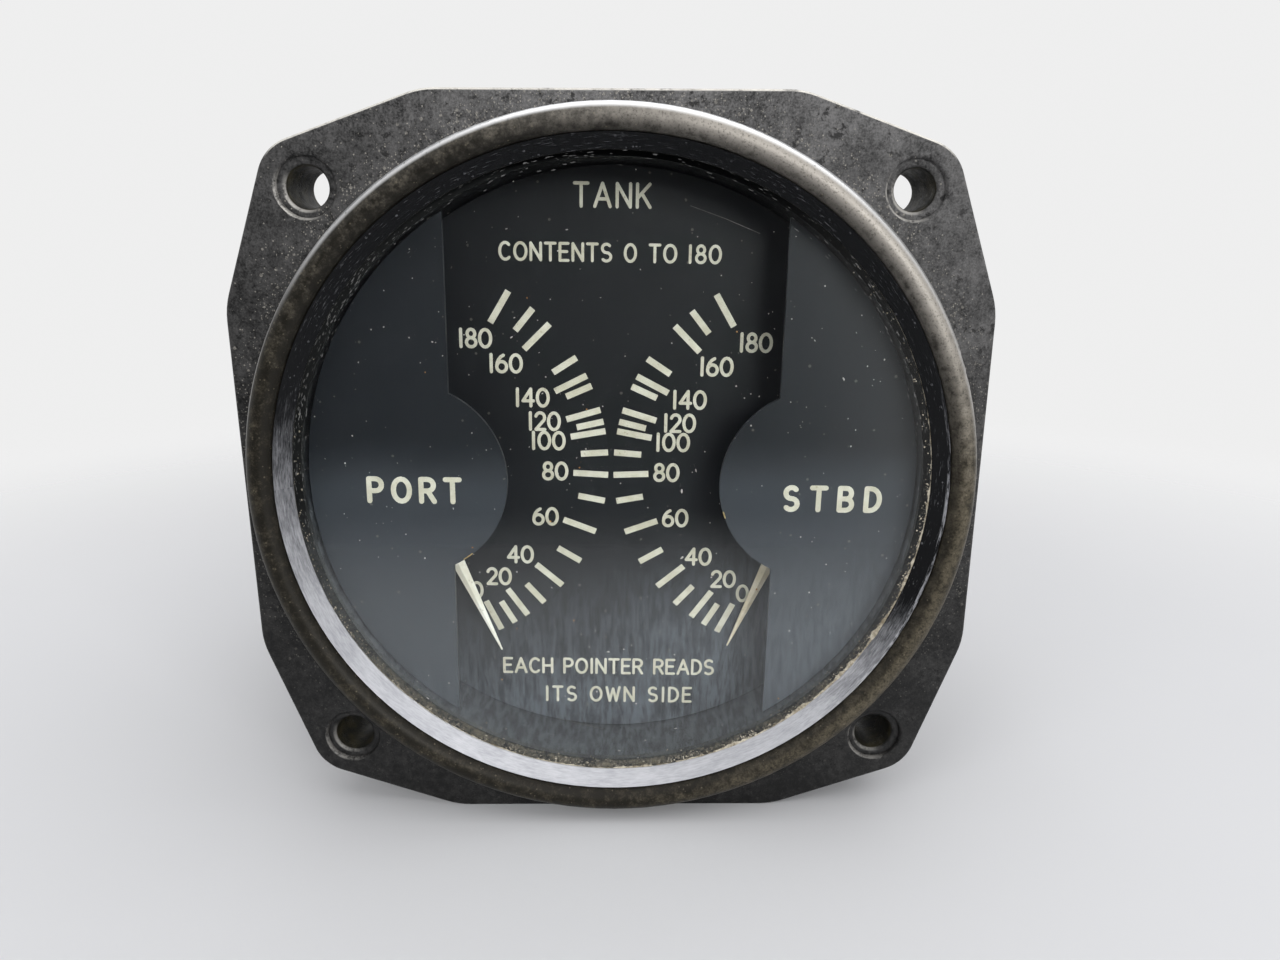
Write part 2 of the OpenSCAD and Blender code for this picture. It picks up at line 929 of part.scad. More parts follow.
module case_can() {
    color("#2b2d2f")
        difference() {
            spun()
                difference() {
                    can_section(can_r, flange_t, can_end, can_edge_r);
                    can_section(can_inner_r, flange_t - cut, can_inner_end, can_edge_r - can_wall);
                }
            rod(conn_hole_r, can_inner_end - cut, can_end + cut);
            at_conn_screws() rod(conn_screw_r + fit, can_inner_end - cut, can_end + cut);
            at_case_screws()
                translate([0, 0, bore_r]) cylinder(r = screw_hole_r, h = can_r);
        }
}

module case_screws() {
    color("silver")
        at_case_screws()
            translate([0, 0, can_r]) slotted_screw(screw_r, case_screw_len, head_r, head_h);
}

module connector_shell() {
    color("#a9a294")
        difference() {
            union() {
                slab(conn_y, conn_flange_back) rounded_rect(conn_flange, conn_flange, conn_corner_r);
                rod(barrel_r, insert_front, barrel_end);
            }
            difference() {
                rod(socket_r, insert_front - cut, barrel_end + cut);
                translate([-key_w / 2, insert_back, socket_r - key_h])
                    cube([key_w, barrel_end - insert_back, key_h + barrel_wall / 2]);
            }
            at_conn_screws() rod(conn_screw_r + hole_fit, conn_y - cut, conn_flange_back + cut);
        }
}

module connector_insert() {
    color("#3a3128")
        difference() {
            rod(insert_r, insert_front, insert_back);
            at_contacts() rod(tail_pin_r + fit, insert_front - cut, insert_back + cut);
        }
}

module connector_contacts() {
    color("#d0b45c")
        at_contacts() {
            rod(tail_pin_r, tail_pin_end, insert_back);
            rod(pin_r, insert_back - cut, insert_back + pin_len);
        }
}

module connector_gasket() {
    color("#2b2b2b")
        difference() {
            slab(can_end, conn_y) rounded_rect(conn_flange, conn_flange, conn_corner_r);
            rod(conn_hole_r, can_end - cut, conn_y + cut);
            at_conn_screws() rod(conn_screw_r + hole_fit, can_end - cut, conn_y + cut);
        }
}

module connector_screws() {
    color("silver")
        at_conn_screws()
            translate([0, conn_flange_back, 0])
                rotate([-90, 0, 0])
                    slotted_screw(conn_screw_r, conn_screw_len, conn_head_r, conn_head_h);
}

flange_casting();
bezel_ring();
bevel_ring();
cover_glass();
glass_gasket();
glass_sealant();
dial_plate();
left_mask();
right_mask();
mask_pillars();
stop_pins();
left_pointer();
right_pointer();
left_staff();
right_staff();
left_rotor_magnet();
right_rotor_magnet();
front_bushes();
rear_jewels();
left_bobbin_front();
left_bobbin_rear();
right_bobbin_front();
right_bobbin_rear();
left_inner_coil();
left_outer_coil();
right_inner_coil();
right_outer_coil();
return_magnets();
left_shield_can();
right_shield_can();
movement_plate();
frame_screws();
shield_screws();
board_posts();
post_screws();
terminal_board();
board_screws();
resistor_spools();
resistor_windings();
board_terminals();
lead_wires();
case_can();
case_screws();
connector_shell();
connector_insert();
connector_contacts();
connector_gasket();
connector_screws();
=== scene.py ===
"""Looks of a two-pointer aircraft fuel gauge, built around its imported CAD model.

The frame is the CAD model's, in metres: X to the right, Y from the glass into the case, Z up.
Lengths are millimetres times MM; those of patterns, bumps and print are plain millimetres.
"""

import json
import math
import random

import bmesh
import bpy
from mathutils import Matrix, Vector, noise
from mathutils.geometry import delaunay_2d_cdt, tessellate_polygon


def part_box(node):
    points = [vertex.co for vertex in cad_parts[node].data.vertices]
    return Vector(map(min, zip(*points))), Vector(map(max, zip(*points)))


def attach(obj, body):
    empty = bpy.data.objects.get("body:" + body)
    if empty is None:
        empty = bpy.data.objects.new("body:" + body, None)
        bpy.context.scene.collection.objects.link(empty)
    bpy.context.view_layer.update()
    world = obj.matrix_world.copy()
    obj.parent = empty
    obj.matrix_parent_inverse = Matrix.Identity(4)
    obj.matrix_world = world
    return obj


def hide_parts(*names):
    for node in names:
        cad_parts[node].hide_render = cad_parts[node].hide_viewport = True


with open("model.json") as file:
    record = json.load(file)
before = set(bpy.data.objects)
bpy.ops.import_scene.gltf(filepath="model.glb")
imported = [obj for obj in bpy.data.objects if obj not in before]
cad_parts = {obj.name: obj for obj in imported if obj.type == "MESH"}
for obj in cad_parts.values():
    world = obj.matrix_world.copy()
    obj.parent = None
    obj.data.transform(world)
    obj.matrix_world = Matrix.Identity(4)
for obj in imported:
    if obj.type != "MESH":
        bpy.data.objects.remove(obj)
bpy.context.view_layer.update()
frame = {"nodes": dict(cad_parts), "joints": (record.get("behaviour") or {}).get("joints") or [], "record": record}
nodes = frame["nodes"]
scene = bpy.context.scene

MM = 0.001

# Flange casting
FLATS = 82 * MM
FLAT_LEN = 38.5 * MM
FLANGE_T = 9.5 * MM
HOLE_SPACING = 62.87 * MM
HOLE_R = 2.17 * MM
COUNTERBORE_R = 3.1 * MM
COUNTERBORE_DEPTH = 0.6 * MM
CORNER_R = 5 * MM
EDGE_R = 0.35 * MM
SOFT_CORNER_R = 9 * MM
HOLE_STEPS = 48
THROAT_STEPS = 160

# Glass, its bevelled ring and what lies behind it, read from the frame; the ring hides GLASS_EDGE
GLASS_EDGE = 0.9 * MM
glass_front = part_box("cover_glass")[0].y
glass_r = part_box("cover_glass")[1].x
dial_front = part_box("dial_plate")[0].y
mask_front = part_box("left_mask")[0].y
window_r = glass_r - GLASS_EDGE
bezel_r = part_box("bezel_ring")[1].x
bevel_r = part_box("bevel_ring")[1].x

# The movement sits a little turned in its case: the two pivots give the turn
pivots = [Vector(joint["pos_m"]) for joint in frame["joints"]]
across = pivots[1] - pivots[0]
dial_place = Matrix.Rotation(math.atan2(-across.z, across.x), 4, "Y")

# Specks, as shares of their cells: radius, solid middle, and how much wider some are
SPECK_R = 0.28
SPECK_CORE = 0.1
SPECK_SPREAD = 0.25


class Nodes:
    """Makes shader nodes and joins them."""

    def __init__(self, tree, coordinates):
        self.tree = tree
        self.place = self.node("ShaderNodeTexCoord").outputs[coordinates]

    def node(self, kind, inputs=None, **settings):
        made = self.tree.nodes.new(kind)
        for name, value in settings.items():
            setattr(made, name, value)
        for key, value in (inputs or {}).items():
            self.put(made.inputs[key], value)
        return made

    def put(self, socket, value):
        """Sets an input to a value, or links it to another node's output."""
        if isinstance(value, bpy.types.NodeSocket):
            self.tree.links.new(value, socket)
        elif socket.type == "RGBA":
            socket.default_value = (*value, 1.0)
        else:
            socket.default_value = value

    def axes(self, vector=None):
        return self.node("ShaderNodeSeparateXYZ", {0: vector or self.place}).outputs

    def math(self, how, total, *terms):
        """Works on one value, or takes in further terms one by one."""
        for term in terms or (0.0,):
            total = self.node("ShaderNodeMath", {0: total, 1: term}, operation=how).outputs[0]
        return total

    def add(self, *terms):
        """Adds up the terms; the factors of one in brackets are multiplied first."""
        return self.math("ADD", *(self.times(*t) if isinstance(t, tuple) else t for t in terms))

    def times(self, *terms):
        return self.math("MULTIPLY", *terms)

    def most(self, *terms):
        return self.math("MAXIMUM", *terms)

    def length(self, a, b):
        return self.math("SQRT", self.add((a, a), (b, b)))

    def span(self, value, low, high, to_low=0.0, to_high=1.0):
        """Eases from to_low to to_high while value goes from low to high."""
        inputs = {"Value": value, "From Min": low, "From Max": high, "To Min": to_low, "To Max": to_high}
        return self.node("ShaderNodeMapRange", inputs, interpolation_type="SMOOTHSTEP").outputs["Result"]

    def blend(self, share, a, b):
        return self.node("ShaderNodeMix", {0: share, 6: a, 7: b}, data_type="RGBA").outputs[2]


class Paint(Nodes):
    """One procedural material, built node by node in the piece's own coordinates."""

    def __init__(self, name):
        self.material = bpy.data.materials.new(name)
        self.material.use_nodes = True
        super().__init__(self.material.node_tree, "Object")
        self.shader = self.tree.nodes["Principled BSDF"]

    def facing(self):
        """X, Y and Z of the way the surface faces."""
        return self.axes(self.node("ShaderNodeNewGeometry").outputs["Normal"])

    def facing_up(self):
        """From -1 to 1: how far up the surface faces, seen from the front."""
        x, _, z = self.facing()
        never_zero = self.most(self.length(x, z), 0.01)
        return self.math("DIVIDE", z, never_zero)

    def facing_out(self):
        """From -1 to 1: how far the surface faces away from the gauge's axis."""
        x, _, z = self.axes()
        face_x, _, face_z = self.facing()
        return self.math("DIVIDE", self.add((x, face_x), (z, face_z)), self.radius())

    def radius(self):
        """Distance from the gauge's axis."""
        x, _, z = self.axes()
        return self.length(x, z)

    def ring_place(self):
        """Coordinates unrolled round the gauge's axis: along the ring, depth, radius."""
        x, y, z = self.axes()
        along = self.times(self.math("ARCTAN2", z, x), bezel_r)
        return self.node("ShaderNodeCombineXYZ", {0: along, 1: y, 2: self.radius()}).outputs[0]

    def scaled(self, place, sizes, shift):
        scale = tuple(1 / (size * MM) for size in sizes)
        inputs = {"Vector": place, "Location": (shift,) * 3, "Scale": scale}
        return self.node("ShaderNodeMapping", inputs).outputs[0]

    def noise(self, size, detail=3.0, rough=0.5, stretch=(1, 1, 1), shift=0.0, place=None):
        """Clouds from 0 to 1 with features of about this size."""
        place = self.scaled(place or self.place, [size * s for s in stretch], shift)
        inputs = {"Vector": place, "Scale": 1.0, "Detail": detail, "Roughness": rough}
        return self.node("ShaderNodeTexNoise", inputs).outputs["Fac"]

    def specks(self, size, share, shift=0.0):
        """1 on scattered round specks, 0 between them; share is how many cells hold one."""
        place = self.scaled(self.place, (size,) * 3, shift)
        cells = self.node("ShaderNodeTexVoronoi", {"Vector": place, "Scale": 1.0}).outputs
        pick = self.axes(cells["Color"])
        chosen = self.math("LESS_THAN", pick[0], share)
        off = self.math("SUBTRACT", cells["Distance"], self.times(pick[1], SPECK_SPREAD))
        return self.times(chosen, self.span(off, SPECK_R, SPECK_CORE))

    def bump(self, height, depth, under=None):
        inputs = {"Height": height, "Distance": depth * MM}
        if under is not None:
            inputs["Normal"] = under
        return self.node("ShaderNodeBump", inputs).outputs[0]

    def coat(self, share, colour):
        """Lays a colour over what is there, as far as share says."""
        self.colour = self.blend(share, self.colour, colour)

    def surface(self, **inputs):
        self.put(self.shader.inputs["Base Color"], self.colour)
        for name, value in inputs.items():
            self.put(self.shader.inputs[name.replace("_", " ")], value)
        return self.material

    def clear_where(self, share, tint=(1.0, 1.0, 1.0)):
        """Lets light straight through the surface where share is 1."""
        through = self.node("ShaderNodeBsdfTransparent", {"Color": tint}).outputs[0]
        both = self.node("ShaderNodeMixShader", {0: share, 1: self.shader.outputs[0], 2: through})
        self.put(self.tree.nodes["Material Output"].inputs["Surface"], both.outputs[0])
        return self.material


def flange_paint():
    """Satin black paint on cast metal: dusty, with painted sheen towards the top and upper right; pitted; worn on
    its edges, partly painted glints; painted shade in the screw holes; painted light low down in the bore.
    """
    p = Paint("worn_black_paint")
    x, _, z = p.axes()
    face_x, face_y, face_z = p.facing()
    mottle = p.noise(0.9, detail=9, rough=0.78)
    patches = p.noise(6, detail=5, rough=0.6, shift=3.0)
    grain = p.noise(0.24, detail=4, rough=0.7, shift=6.0)
    height = p.span(z, -38 * MM, 36 * MM)
    side = p.span(x, -45 * MM, 42 * MM)
    from_axis = p.radius()
    foot = p.span(from_axis, bezel_r + 4.5 * MM, bezel_r)
    brow = p.span(z, 33 * MM, 41 * MM)
    # Dust with real mottling; its rise towards the top and the upper right, and the band along the top edge, is
    # painted sheen of the light there.
    dust = p.add(0.02, (height, height, 0.22), (height, side, 0.32), (brow, 0.28))
    uneven = p.add(p.span(mottle, 0.3, 0.7, 0.3, 1.35), p.span(patches, 0.35, 0.65, -0.3, 0.3))
    dust = p.times(dust, p.add(uneven, p.span(grain, 0.3, 0.7, -0.45, 0.45)))
    paint = p.span(p.add(mottle, (patches, 0.6), (grain, 0.4)), 0.87, 1.25)
    paint = p.blend(paint, (0.0008, 0.0008, 0.0009), (0.021, 0.0203, 0.0196))
    p.colour = p.blend(dust, paint, (0.165, 0.162, 0.161))
    grit = p.specks(0.4, p.add(0.012, (foot, 0.18)))
    fines = p.specks(0.2, p.add(0.025, (foot, 0.45)), shift=5.0)
    crumbs = p.most(p.times(grit, 0.6), p.times(fines, 0.85))
    crumbs = p.times(crumbs, p.add(0.09, (height, 0.75)), p.span(grain, 0.3, 0.6))
    p.coat(crumbs, (0.4, 0.378, 0.33))
    pits = p.span(p.noise(1.5, detail=6, rough=0.72, shift=9.0), 0.55, 0.62)
    pits = p.times(pits, p.span(patches, 0.4, 0.56))
    p.coat(p.times(pits, 0.85), (0.005, 0.005, 0.005))
    turned = p.math("ABSOLUTE", face_y)
    edge = p.times(p.span(turned, 0.1, 0.35), p.span(turned, 0.975, 0.88))
    rubs = p.noise(2.2, detail=5, rough=0.7, shift=7.0)
    from_hole = p.length(*(p.math("SUBTRACT", p.math("ABSOLUTE", a), HOLE_SPACING / 2) for a in (x, z)))
    hole = p.span(from_hole, COUNTERBORE_R + 0.6 * MM, COUNTERBORE_R + 0.4 * MM)
    # Pale rings at the screw holes: real wear, gathered where the chamfers turn to the light and fainter lower
    # down, so partly painted glints.
    to_light = p.add((face_x, 0.75), (face_z, 0.66))
    rubbed = p.span(p.add(rubs, (grain, 0.4)), 0.5, 0.75)
    hole_wear_and_glint = p.times(edge, hole, p.span(to_light, 0.05, 0.75), rubbed)
    hole_wear_and_glint = p.times(hole_wear_and_glint, p.add(0.4, (height, 0.6)))
    no_hole = p.math("SUBTRACT", 1.0, hole)
    # Pale line along the upper edges: real wear and a painted glint of the light from above.
    top_edge_wear_and_glint = p.times(edge, p.span(p.facing_up(), 0.55, 0.85), p.span(rubs, 0.28, 0.48), no_hole)
    # worn holds real wear and the painted glints.
    worn = p.most(p.times(hole_wear_and_glint, 0.8), top_edge_wear_and_glint)
    p.coat(worn, (0.62, 0.6, 0.56))
    # Painted shade inside the screw holes: near black, olive in places.
    drilled = p.span(from_hole, HOLE_R + 0.12 * MM, HOLE_R + 0.02 * MM)
    hole_shade = p.blend(p.span(rubs, 0.4, 0.65), (0.011, 0.011, 0.009), (0.042, 0.036, 0.019))
    p.coat(drilled, hole_shade)
    # In the bore, painted light: lighter and streaky below the middle, near black at the top.
    bore = p.span(from_axis, window_r + 1.1 * MM, window_r + 0.8 * MM)
    smears = p.noise(0.55, rough=0.6, stretch=(1, 5, 5), shift=0.5)
    painted_light_low = p.blend(p.span(smears, 0.38, 0.62), (0.035, 0.038, 0.043), (0.087, 0.094, 0.104))
    painted_light_low = p.blend(p.span(z, 8 * MM, -8 * MM), (0.006, 0.0064, 0.007), painted_light_low)
    p.coat(bore, painted_light_low)
    rough = p.add((dust, 0.3), (mottle, 0.2), 0.36)
    relief = p.bump(p.add((mottle, 0.6), (grain, 0.35)), 0.07)
    relief = p.bump(p.math("SUBTRACT", crumbs, pits), 0.05, under=relief)
    return p.surface(Metallic=p.times(worn, 0.85), Roughness=rough, Specular_IOR_Level=0.3, Normal=relief)


def can_paint():
    """Black crackle paint on the drawn case, chipped on its back edge and dusty on top."""
    p = Paint("case_black_paint")
    _, face_y, face_z = p.facing()
    crackle = p.noise(0.55, detail=2, rough=0.4)
    clouds = p.noise(8, detail=5, rough=0.6, shift=2.0)
    dust = p.times(p.span(clouds, 0.4, 0.75), p.span(face_z, -0.3, 1.0, 0.1, 0.55))
    p.colour = p.blend(dust, (0.014, 0.014, 0.015), (0.13, 0.125, 0.12))
    rim = p.times(p.span(face_y, 0.12, 0.4), p.span(face_y, 0.96, 0.75))
    worn = p.times(rim, p.span(p.noise(3, detail=5, rough=0.7, shift=4.0), 0.5, 0.62))
    chips = p.span(p.noise(1.3, detail=6, rough=0.75, shift=9.0), 0.66, 0.69)
    worn = p.most(worn, p.times(chips, p.span(clouds, 0.42, 0.6)))
    p.coat(worn, (0.5, 0.49, 0.47))
    rough = p.add((dust, 0.25), (crackle, 0.15), 0.34)
    return p.surface(Metallic=p.times(worn, 0.9), Roughness=rough, Normal=p.bump(crackle, 0.12))


def bezel_metal():
    """Bronze ring: olive below, painted lighter towards the right; rubbed beige at the top and right, partly
    painted light; painted highlights outside and along the top, and painted shade on its inner side.
    """
    p = Paint("bezel_metal")
    x, _, z = p.axes()
    mottle = p.noise(1.1, detail=7, rough=0.7)
    grain = p.noise(0.22, rough=0.6, shift=6.0)
    height = p.span(z, -10 * MM, 40 * MM)
    side = p.span(x, -18 * MM, 32 * MM)
    right = p.span(x, -10 * MM, 38 * MM)
    out = p.facing_out()
    # Rubbed beige at the top and right: real wear, and partly painted light from the upper right.
    rubbed = p.times(height, p.add(0.14, (side, 0.78)))
    rubbed = p.span(p.add(rubbed, (mottle, 0.5)), 0.3, 0.95)
    # The olive is painted lighter towards the right, as painted light from that side.
    shade = p.span(p.add((mottle, 1.2), (grain, 0.6), (right, 0.3)), 0.8, 1.55)
    olive = p.blend(shade, (0.013, 0.0115, 0.008), (0.135, 0.115, 0.08))
    p.colour = p.blend(rubbed, olive, (0.33, 0.307, 0.275))
    gritty = p.times(p.span(grain, 0.47, 0.32), 0.5)
    p.coat(gritty, (0.03, 0.026, 0.019))
    # Painted highlights: gleam along the outer edge, and crest_highlight, brighter, along the top.
    gleam = p.times(p.span(out, 0.74, 0.93), p.span(z, -8 * MM, 22 * MM), 0.9)
    crest_highlight = p.times(p.span(out, 0.42, 0.9), p.span(z, 16 * MM, 34 * MM), p.span(mottle, 0.2, 0.5, 0.7, 1.0))
    # bright gathers rubbed metal and the painted highlights.
    bright = p.most(p.times(p.span(out, 0.5, 0.88), rubbed), gleam, crest_highlight)
    p.coat(bright, (0.6, 0.595, 0.585))
    p.coat(crest_highlight, (0.8, 0.805, 0.82))
    # Painted shade on the ring's inner side.
    inner_shade = p.times(p.span(out, -0.15, -0.7), p.span(mottle, 0.25, 0.6, 0.95, 0.6))
    p.coat(inner_shade, (0.012, 0.0105, 0.008))
    p.coat(p.times(p.specks(0.24, 0.05), 0.2), (0.36, 0.31, 0.22))
    stains = p.times(p.specks(0.4, 0.07, shift=8.0), p.span(mottle, 0.6, 0.4), 0.6)
    p.coat(stains, (0.014, 0.012, 0.009))
    rough = p.add((mottle, 0.24), p.span(bright, 0.0, 1.0, 0.36, 0.2))
    relief = p.bump(p.add((mottle, 0.7), (grain, 0.3)), 0.05)
    shine = p.span(bright, 0.0, 1.0, 0.5, 0.85)
    return p.surface(Metallic=shine, Roughness=rough, Specular_IOR_Level=0.3, Normal=relief)


def bevel_metal():
    """Gloss black bevel with pale scratches and nicks; painted reflection of the light turns it to pale metal at
    the bottom and lower right and scratched grey on the left; a pale line runs along its low rim.
    """
    p = Paint("bevel_metal")
    x, _, z = p.axes()
    ring = p.ring_place()
    patches = p.noise(1.6, detail=6, rough=0.66, stretch=(3, 1, 1), place=ring)
    scratch = p.noise(0.14, detail=4, rough=0.65, stretch=(9, 1, 1), place=ring)
    fine = p.noise(0.06, detail=2, rough=0.6, stretch=(30, 1, 1), place=ring, shift=4.0)
    down = p.times(z, -1 / window_r)
    left = p.times(x, -1 / window_r)
    # Painted reflection: pale metal at the bottom, lower left and lower right, broken up by streaks of scratches.
    low_right = p.span(p.add((down, 0.77), (left, -0.64)), 0.8, 1.0)
    bare_and_reflection = p.add((down, 1.06), (left, 0.42), (low_right, 0.3))
    streaks = p.add((p.math("SUBTRACT", scratch, 0.5), 0.5), (p.math("SUBTRACT", patches, 0.5), 0.55))
    bare_and_reflection = p.span(p.add(bare_and_reflection, streaks), 0.08, 0.95)
    # Scratches are thicker at the lower right, broken painted reflection there.
    thick = p.add(1.0, (low_right, 2.0))
    marks = p.times(p.span(scratch, 0.58, 0.68), p.span(patches, 0.42, 0.6), thick)
    nicks = p.times(p.specks(0.35, 0.05), p.span(scratch, 0.4, 0.6))
    uneven = p.add(patches, scratch)
    rim = p.span(p.radius(), bevel_r - 0.3 * MM, bevel_r - 0.15 * MM)
    low = p.span(p.add(down, (left, -0.5)), 0.1, 0.6)
    rim = p.times(rim, p.span(uneven, 0.85, 1.15), low, p.span(left, 0.2, -0.6, 0.6, 1.0))
    bare_and_reflection = p.most(bare_and_reflection, p.times(marks, 0.22), p.times(nicks, 0.3), rim)
    metal_tone = p.blend(p.span(uneven, 0.7, 1.3), (0.335, 0.34, 0.365), (0.475, 0.48, 0.505))
    p.colour = p.blend(bare_and_reflection, (0.004, 0.0044, 0.0052), metal_tone)
    rough = p.add((fine, 0.16), p.span(bare_and_reflection, 0.0, 1.0, 0.16, 0.36))
    relief = p.bump(p.add((scratch, 0.5), (fine, 0.2), (patches, 0.4)), 0.02)
    shine = p.times(bare_and_reflection, p.span(low_right, 0.0, 1.0, 0.92, 0.5))
    return p.surface(Metallic=shine, Roughness=rough, Specular_IOR_Level=0.14, Normal=relief)


def clear_glass():
    """Flat, faintly green glass. Lamps shine through it onto the dial."""
    p = Paint("clear_glass")
    p.colour = p.blend(p.noise(14, detail=4, stretch=(1, 1, 2)), (0.95, 0.97, 0.965), (0.925, 0.955, 0.95))
    p.surface(Roughness=0.0, IOR=1.5, Transmission_Weight=1.0)
    lamp_ray = p.node("ShaderNodeLightPath").outputs["Is Shadow Ray"]
    return p.clear_where(lamp_ray, (0.9, 0.92, 0.92))


def dial_paint(name, dark, light, rough, reflection_share, sheen):
    """Satin blue-black paint with pale cut edges; low down, upright streaks and a pale veil are a painted
    reflection of the floor, and below the middle a painted sheen.
    """
    p = Paint(name)
    x, _, z = p.axes()
    _, face_y, _ = p.facing()
    streak = p.noise(0.55, rough=0.6, stretch=(1, 5, 5), shift=0.5)
    clouds = p.noise(9, detail=4, rough=0.55, shift=1.0)
    grain = p.noise(0.15, detail=2, shift=2.0)
    p.colour = p.blend(p.add((streak, 0.5), (clouds, 0.5)), dark, light)
    # Painted reflection of the floor low down, with upright streaks and clouds.
    low = p.span(p.add(z, (x, -0.25)), -9 * MM, -30 * MM)
    painted_reflection = p.add(p.span(streak, 0.36, 0.64, 0.0, 1.4), p.span(clouds, 0.3, 0.7, 0.2, 0.6))
    painted_reflection = p.times(low, painted_reflection, reflection_share)
    # Painted sheen, lighter below the middle.
    painted_sheen = p.times(p.span(p.add(z, (clouds, 4 * MM)), 7 * MM, 0.0), sheen)
    p.coat(p.add(painted_reflection, painted_sheen), (0.127, 0.142, 0.167))
    cut = p.span(p.math("ABSOLUTE", face_y), 0.8, 0.4)
    p.coat(p.times(cut, p.span(clouds, 0.3, 0.6)), (0.05, 0.052, 0.055))
    p.coat(p.times(p.specks(0.4, 0.012), 0.5), (0.16, 0.15, 0.13))
    gloss = p.add((streak, 0.14), (clouds, 0.1), rough)
    return p.surface(Roughness=gloss, Specular_IOR_Level=0.3, Normal=p.bump(grain, 0.0005))


def cream_paint(name, pale, aged):
    """Luminous paint gone cream, mottled and a little dirty."""
    p = Paint(name)
    clouds = p.noise(1.8, detail=4, rough=0.6)
    grain = p.noise(0.14, rough=0.6, shift=3.0)
    p.colour = p.blend(p.span(p.add(clouds, (grain, 0.3)), 0.45, 0.85), pale, aged)
    p.coat(p.times(p.specks(0.3, 0.05), 0.45), (0.3, 0.25, 0.16))
    gloss = p.add((grain, 0.2), 0.55)
    return p.surface(Roughness=gloss, Normal=p.bump(grain, 0.012))


def crumbly(name, pale, brown, darker_upper_left=0.0):
    """Dry, granular stuff: hardened sealant and grit; darker_upper_left darkens it towards the upper left."""
    p = Paint(name)
    x, _, z = p.axes()
    lumps = p.noise(0.5, detail=5, rough=0.7)
    patches = p.noise(3, shift=4.0)
    p.colour = p.blend(p.span(p.add(lumps, (patches, 0.6)), 0.6, 1.0), pale, brown)
    upper_left = p.span(p.add(z, (x, -0.8)), -12 * MM, 10 * MM)
    # Darker towards the upper left.
    p.coat(p.times(upper_left, darker_upper_left), (0.03, 0.029, 0.027))
    rough = p.span(lumps, 0.2, 0.8, 0.75, 0.95)
    return p.surface(Roughness=rough, Normal=p.bump(lumps, 0.1))


def old_gasket():
    """Black rubber behind the glass: painted light makes its lower half paler, with pale grit low down at the
    window's edge.
    """
    p = Paint("old_gasket")
    _, _, z = p.axes()
    lumps = p.noise(0.5, detail=6, rough=0.75)
    patches = p.noise(3, shift=4.0)
    crust = p.add(lumps, (patches, 0.5))
    near_rim = p.add(p.radius(), (lumps, 0.5 * MM))
    near_rim = p.span(near_rim, window_r - 0.3 * MM, window_r + 0.15 * MM)
    grit = p.times(p.span(z, -14 * MM, -31 * MM), near_rim, p.span(crust, 0.6, 0.95))
    # Painted light: paler below the middle.
    painted_light_low = p.times(p.span(z, -1 * MM, -11 * MM), p.span(crust, 0.6, 0.85, 0.4, 1.0))
    p.colour = p.blend(painted_light_low, (0.014, 0.014, 0.014), (0.082, 0.086, 0.088))
    p.coat(grit, (0.27, 0.235, 0.17))
    rough = p.span(lumps, 0.2, 0.8, 0.7, 0.9)
    return p.surface(Roughness=rough, Normal=p.bump(lumps, 0.05))


def metal(name, bright, dull, rough, size=1.2):
    """Machined or plated metal with tool marks and dull patches."""
    p = Paint(name)
    marks = p.noise(0.12, rough=0.6)
    patches = p.noise(size, detail=5, rough=0.6, shift=5.0)
    p.colour = p.blend(p.span(p.add(patches, (marks, 0.3)), 0.45, 0.85), bright, dull)
    gloss = p.add((patches, 0.22), (marks, 0.1), rough)
    return p.surface(Metallic=0.95, Roughness=gloss, Normal=p.bump(marks, 0.012))


def moulded(name, colour_a, colour_b, rough, size=1.5):
    """Moulded plastic, rubber, laminate or a glossy stone."""
    p = Paint(name)
    clouds = p.noise(size, detail=5, rough=0.6)
    grain = p.noise(0.1, detail=2, shift=2.0)
    p.colour = p.blend(p.span(clouds, 0.3, 0.7), colour_a, colour_b)
    gloss = p.add((clouds, 0.12), (grain, 0.08), rough)
    return p.surface(Roughness=gloss, Normal=p.bump(grain, 0.015))


def wound(name, bright, dark, pitch):
    """Fine wire laid side by side."""
    p = Paint(name)
    _, y, _ = p.axes()
    turns = p.math("SINE", p.times(y, math.tau / pitch))
    shade = p.noise(2, detail=4)
    p.colour = p.blend(p.span(p.add(turns, shade), -0.6, 1.2), dark, bright)
    gloss = p.add((shade, 0.2), 0.3)
    return p.surface(Metallic=0.7, Roughness=gloss, Normal=p.bump(turns, 0.03))


flange_black = flange_paint()
print_cream = cream_paint("print_cream", (0.64, 0.612, 0.512), (0.51, 0.474, 0.362))
scuff_grey = crumbly("scuff_grey", (0.15, 0.15, 0.148), (0.06, 0.06, 0.058))
sealant_cream = crumbly("sealant_cream", (0.58, 0.535, 0.43), (0.2, 0.168, 0.115), darker_upper_left=0.9)
plated = metal("plated_metal", (0.43, 0.4, 0.335), (0.3, 0.275, 0.225), 0.34)
brass = metal("brass", (0.68, 0.5, 0.22), (0.42, 0.3, 0.13), 0.28)

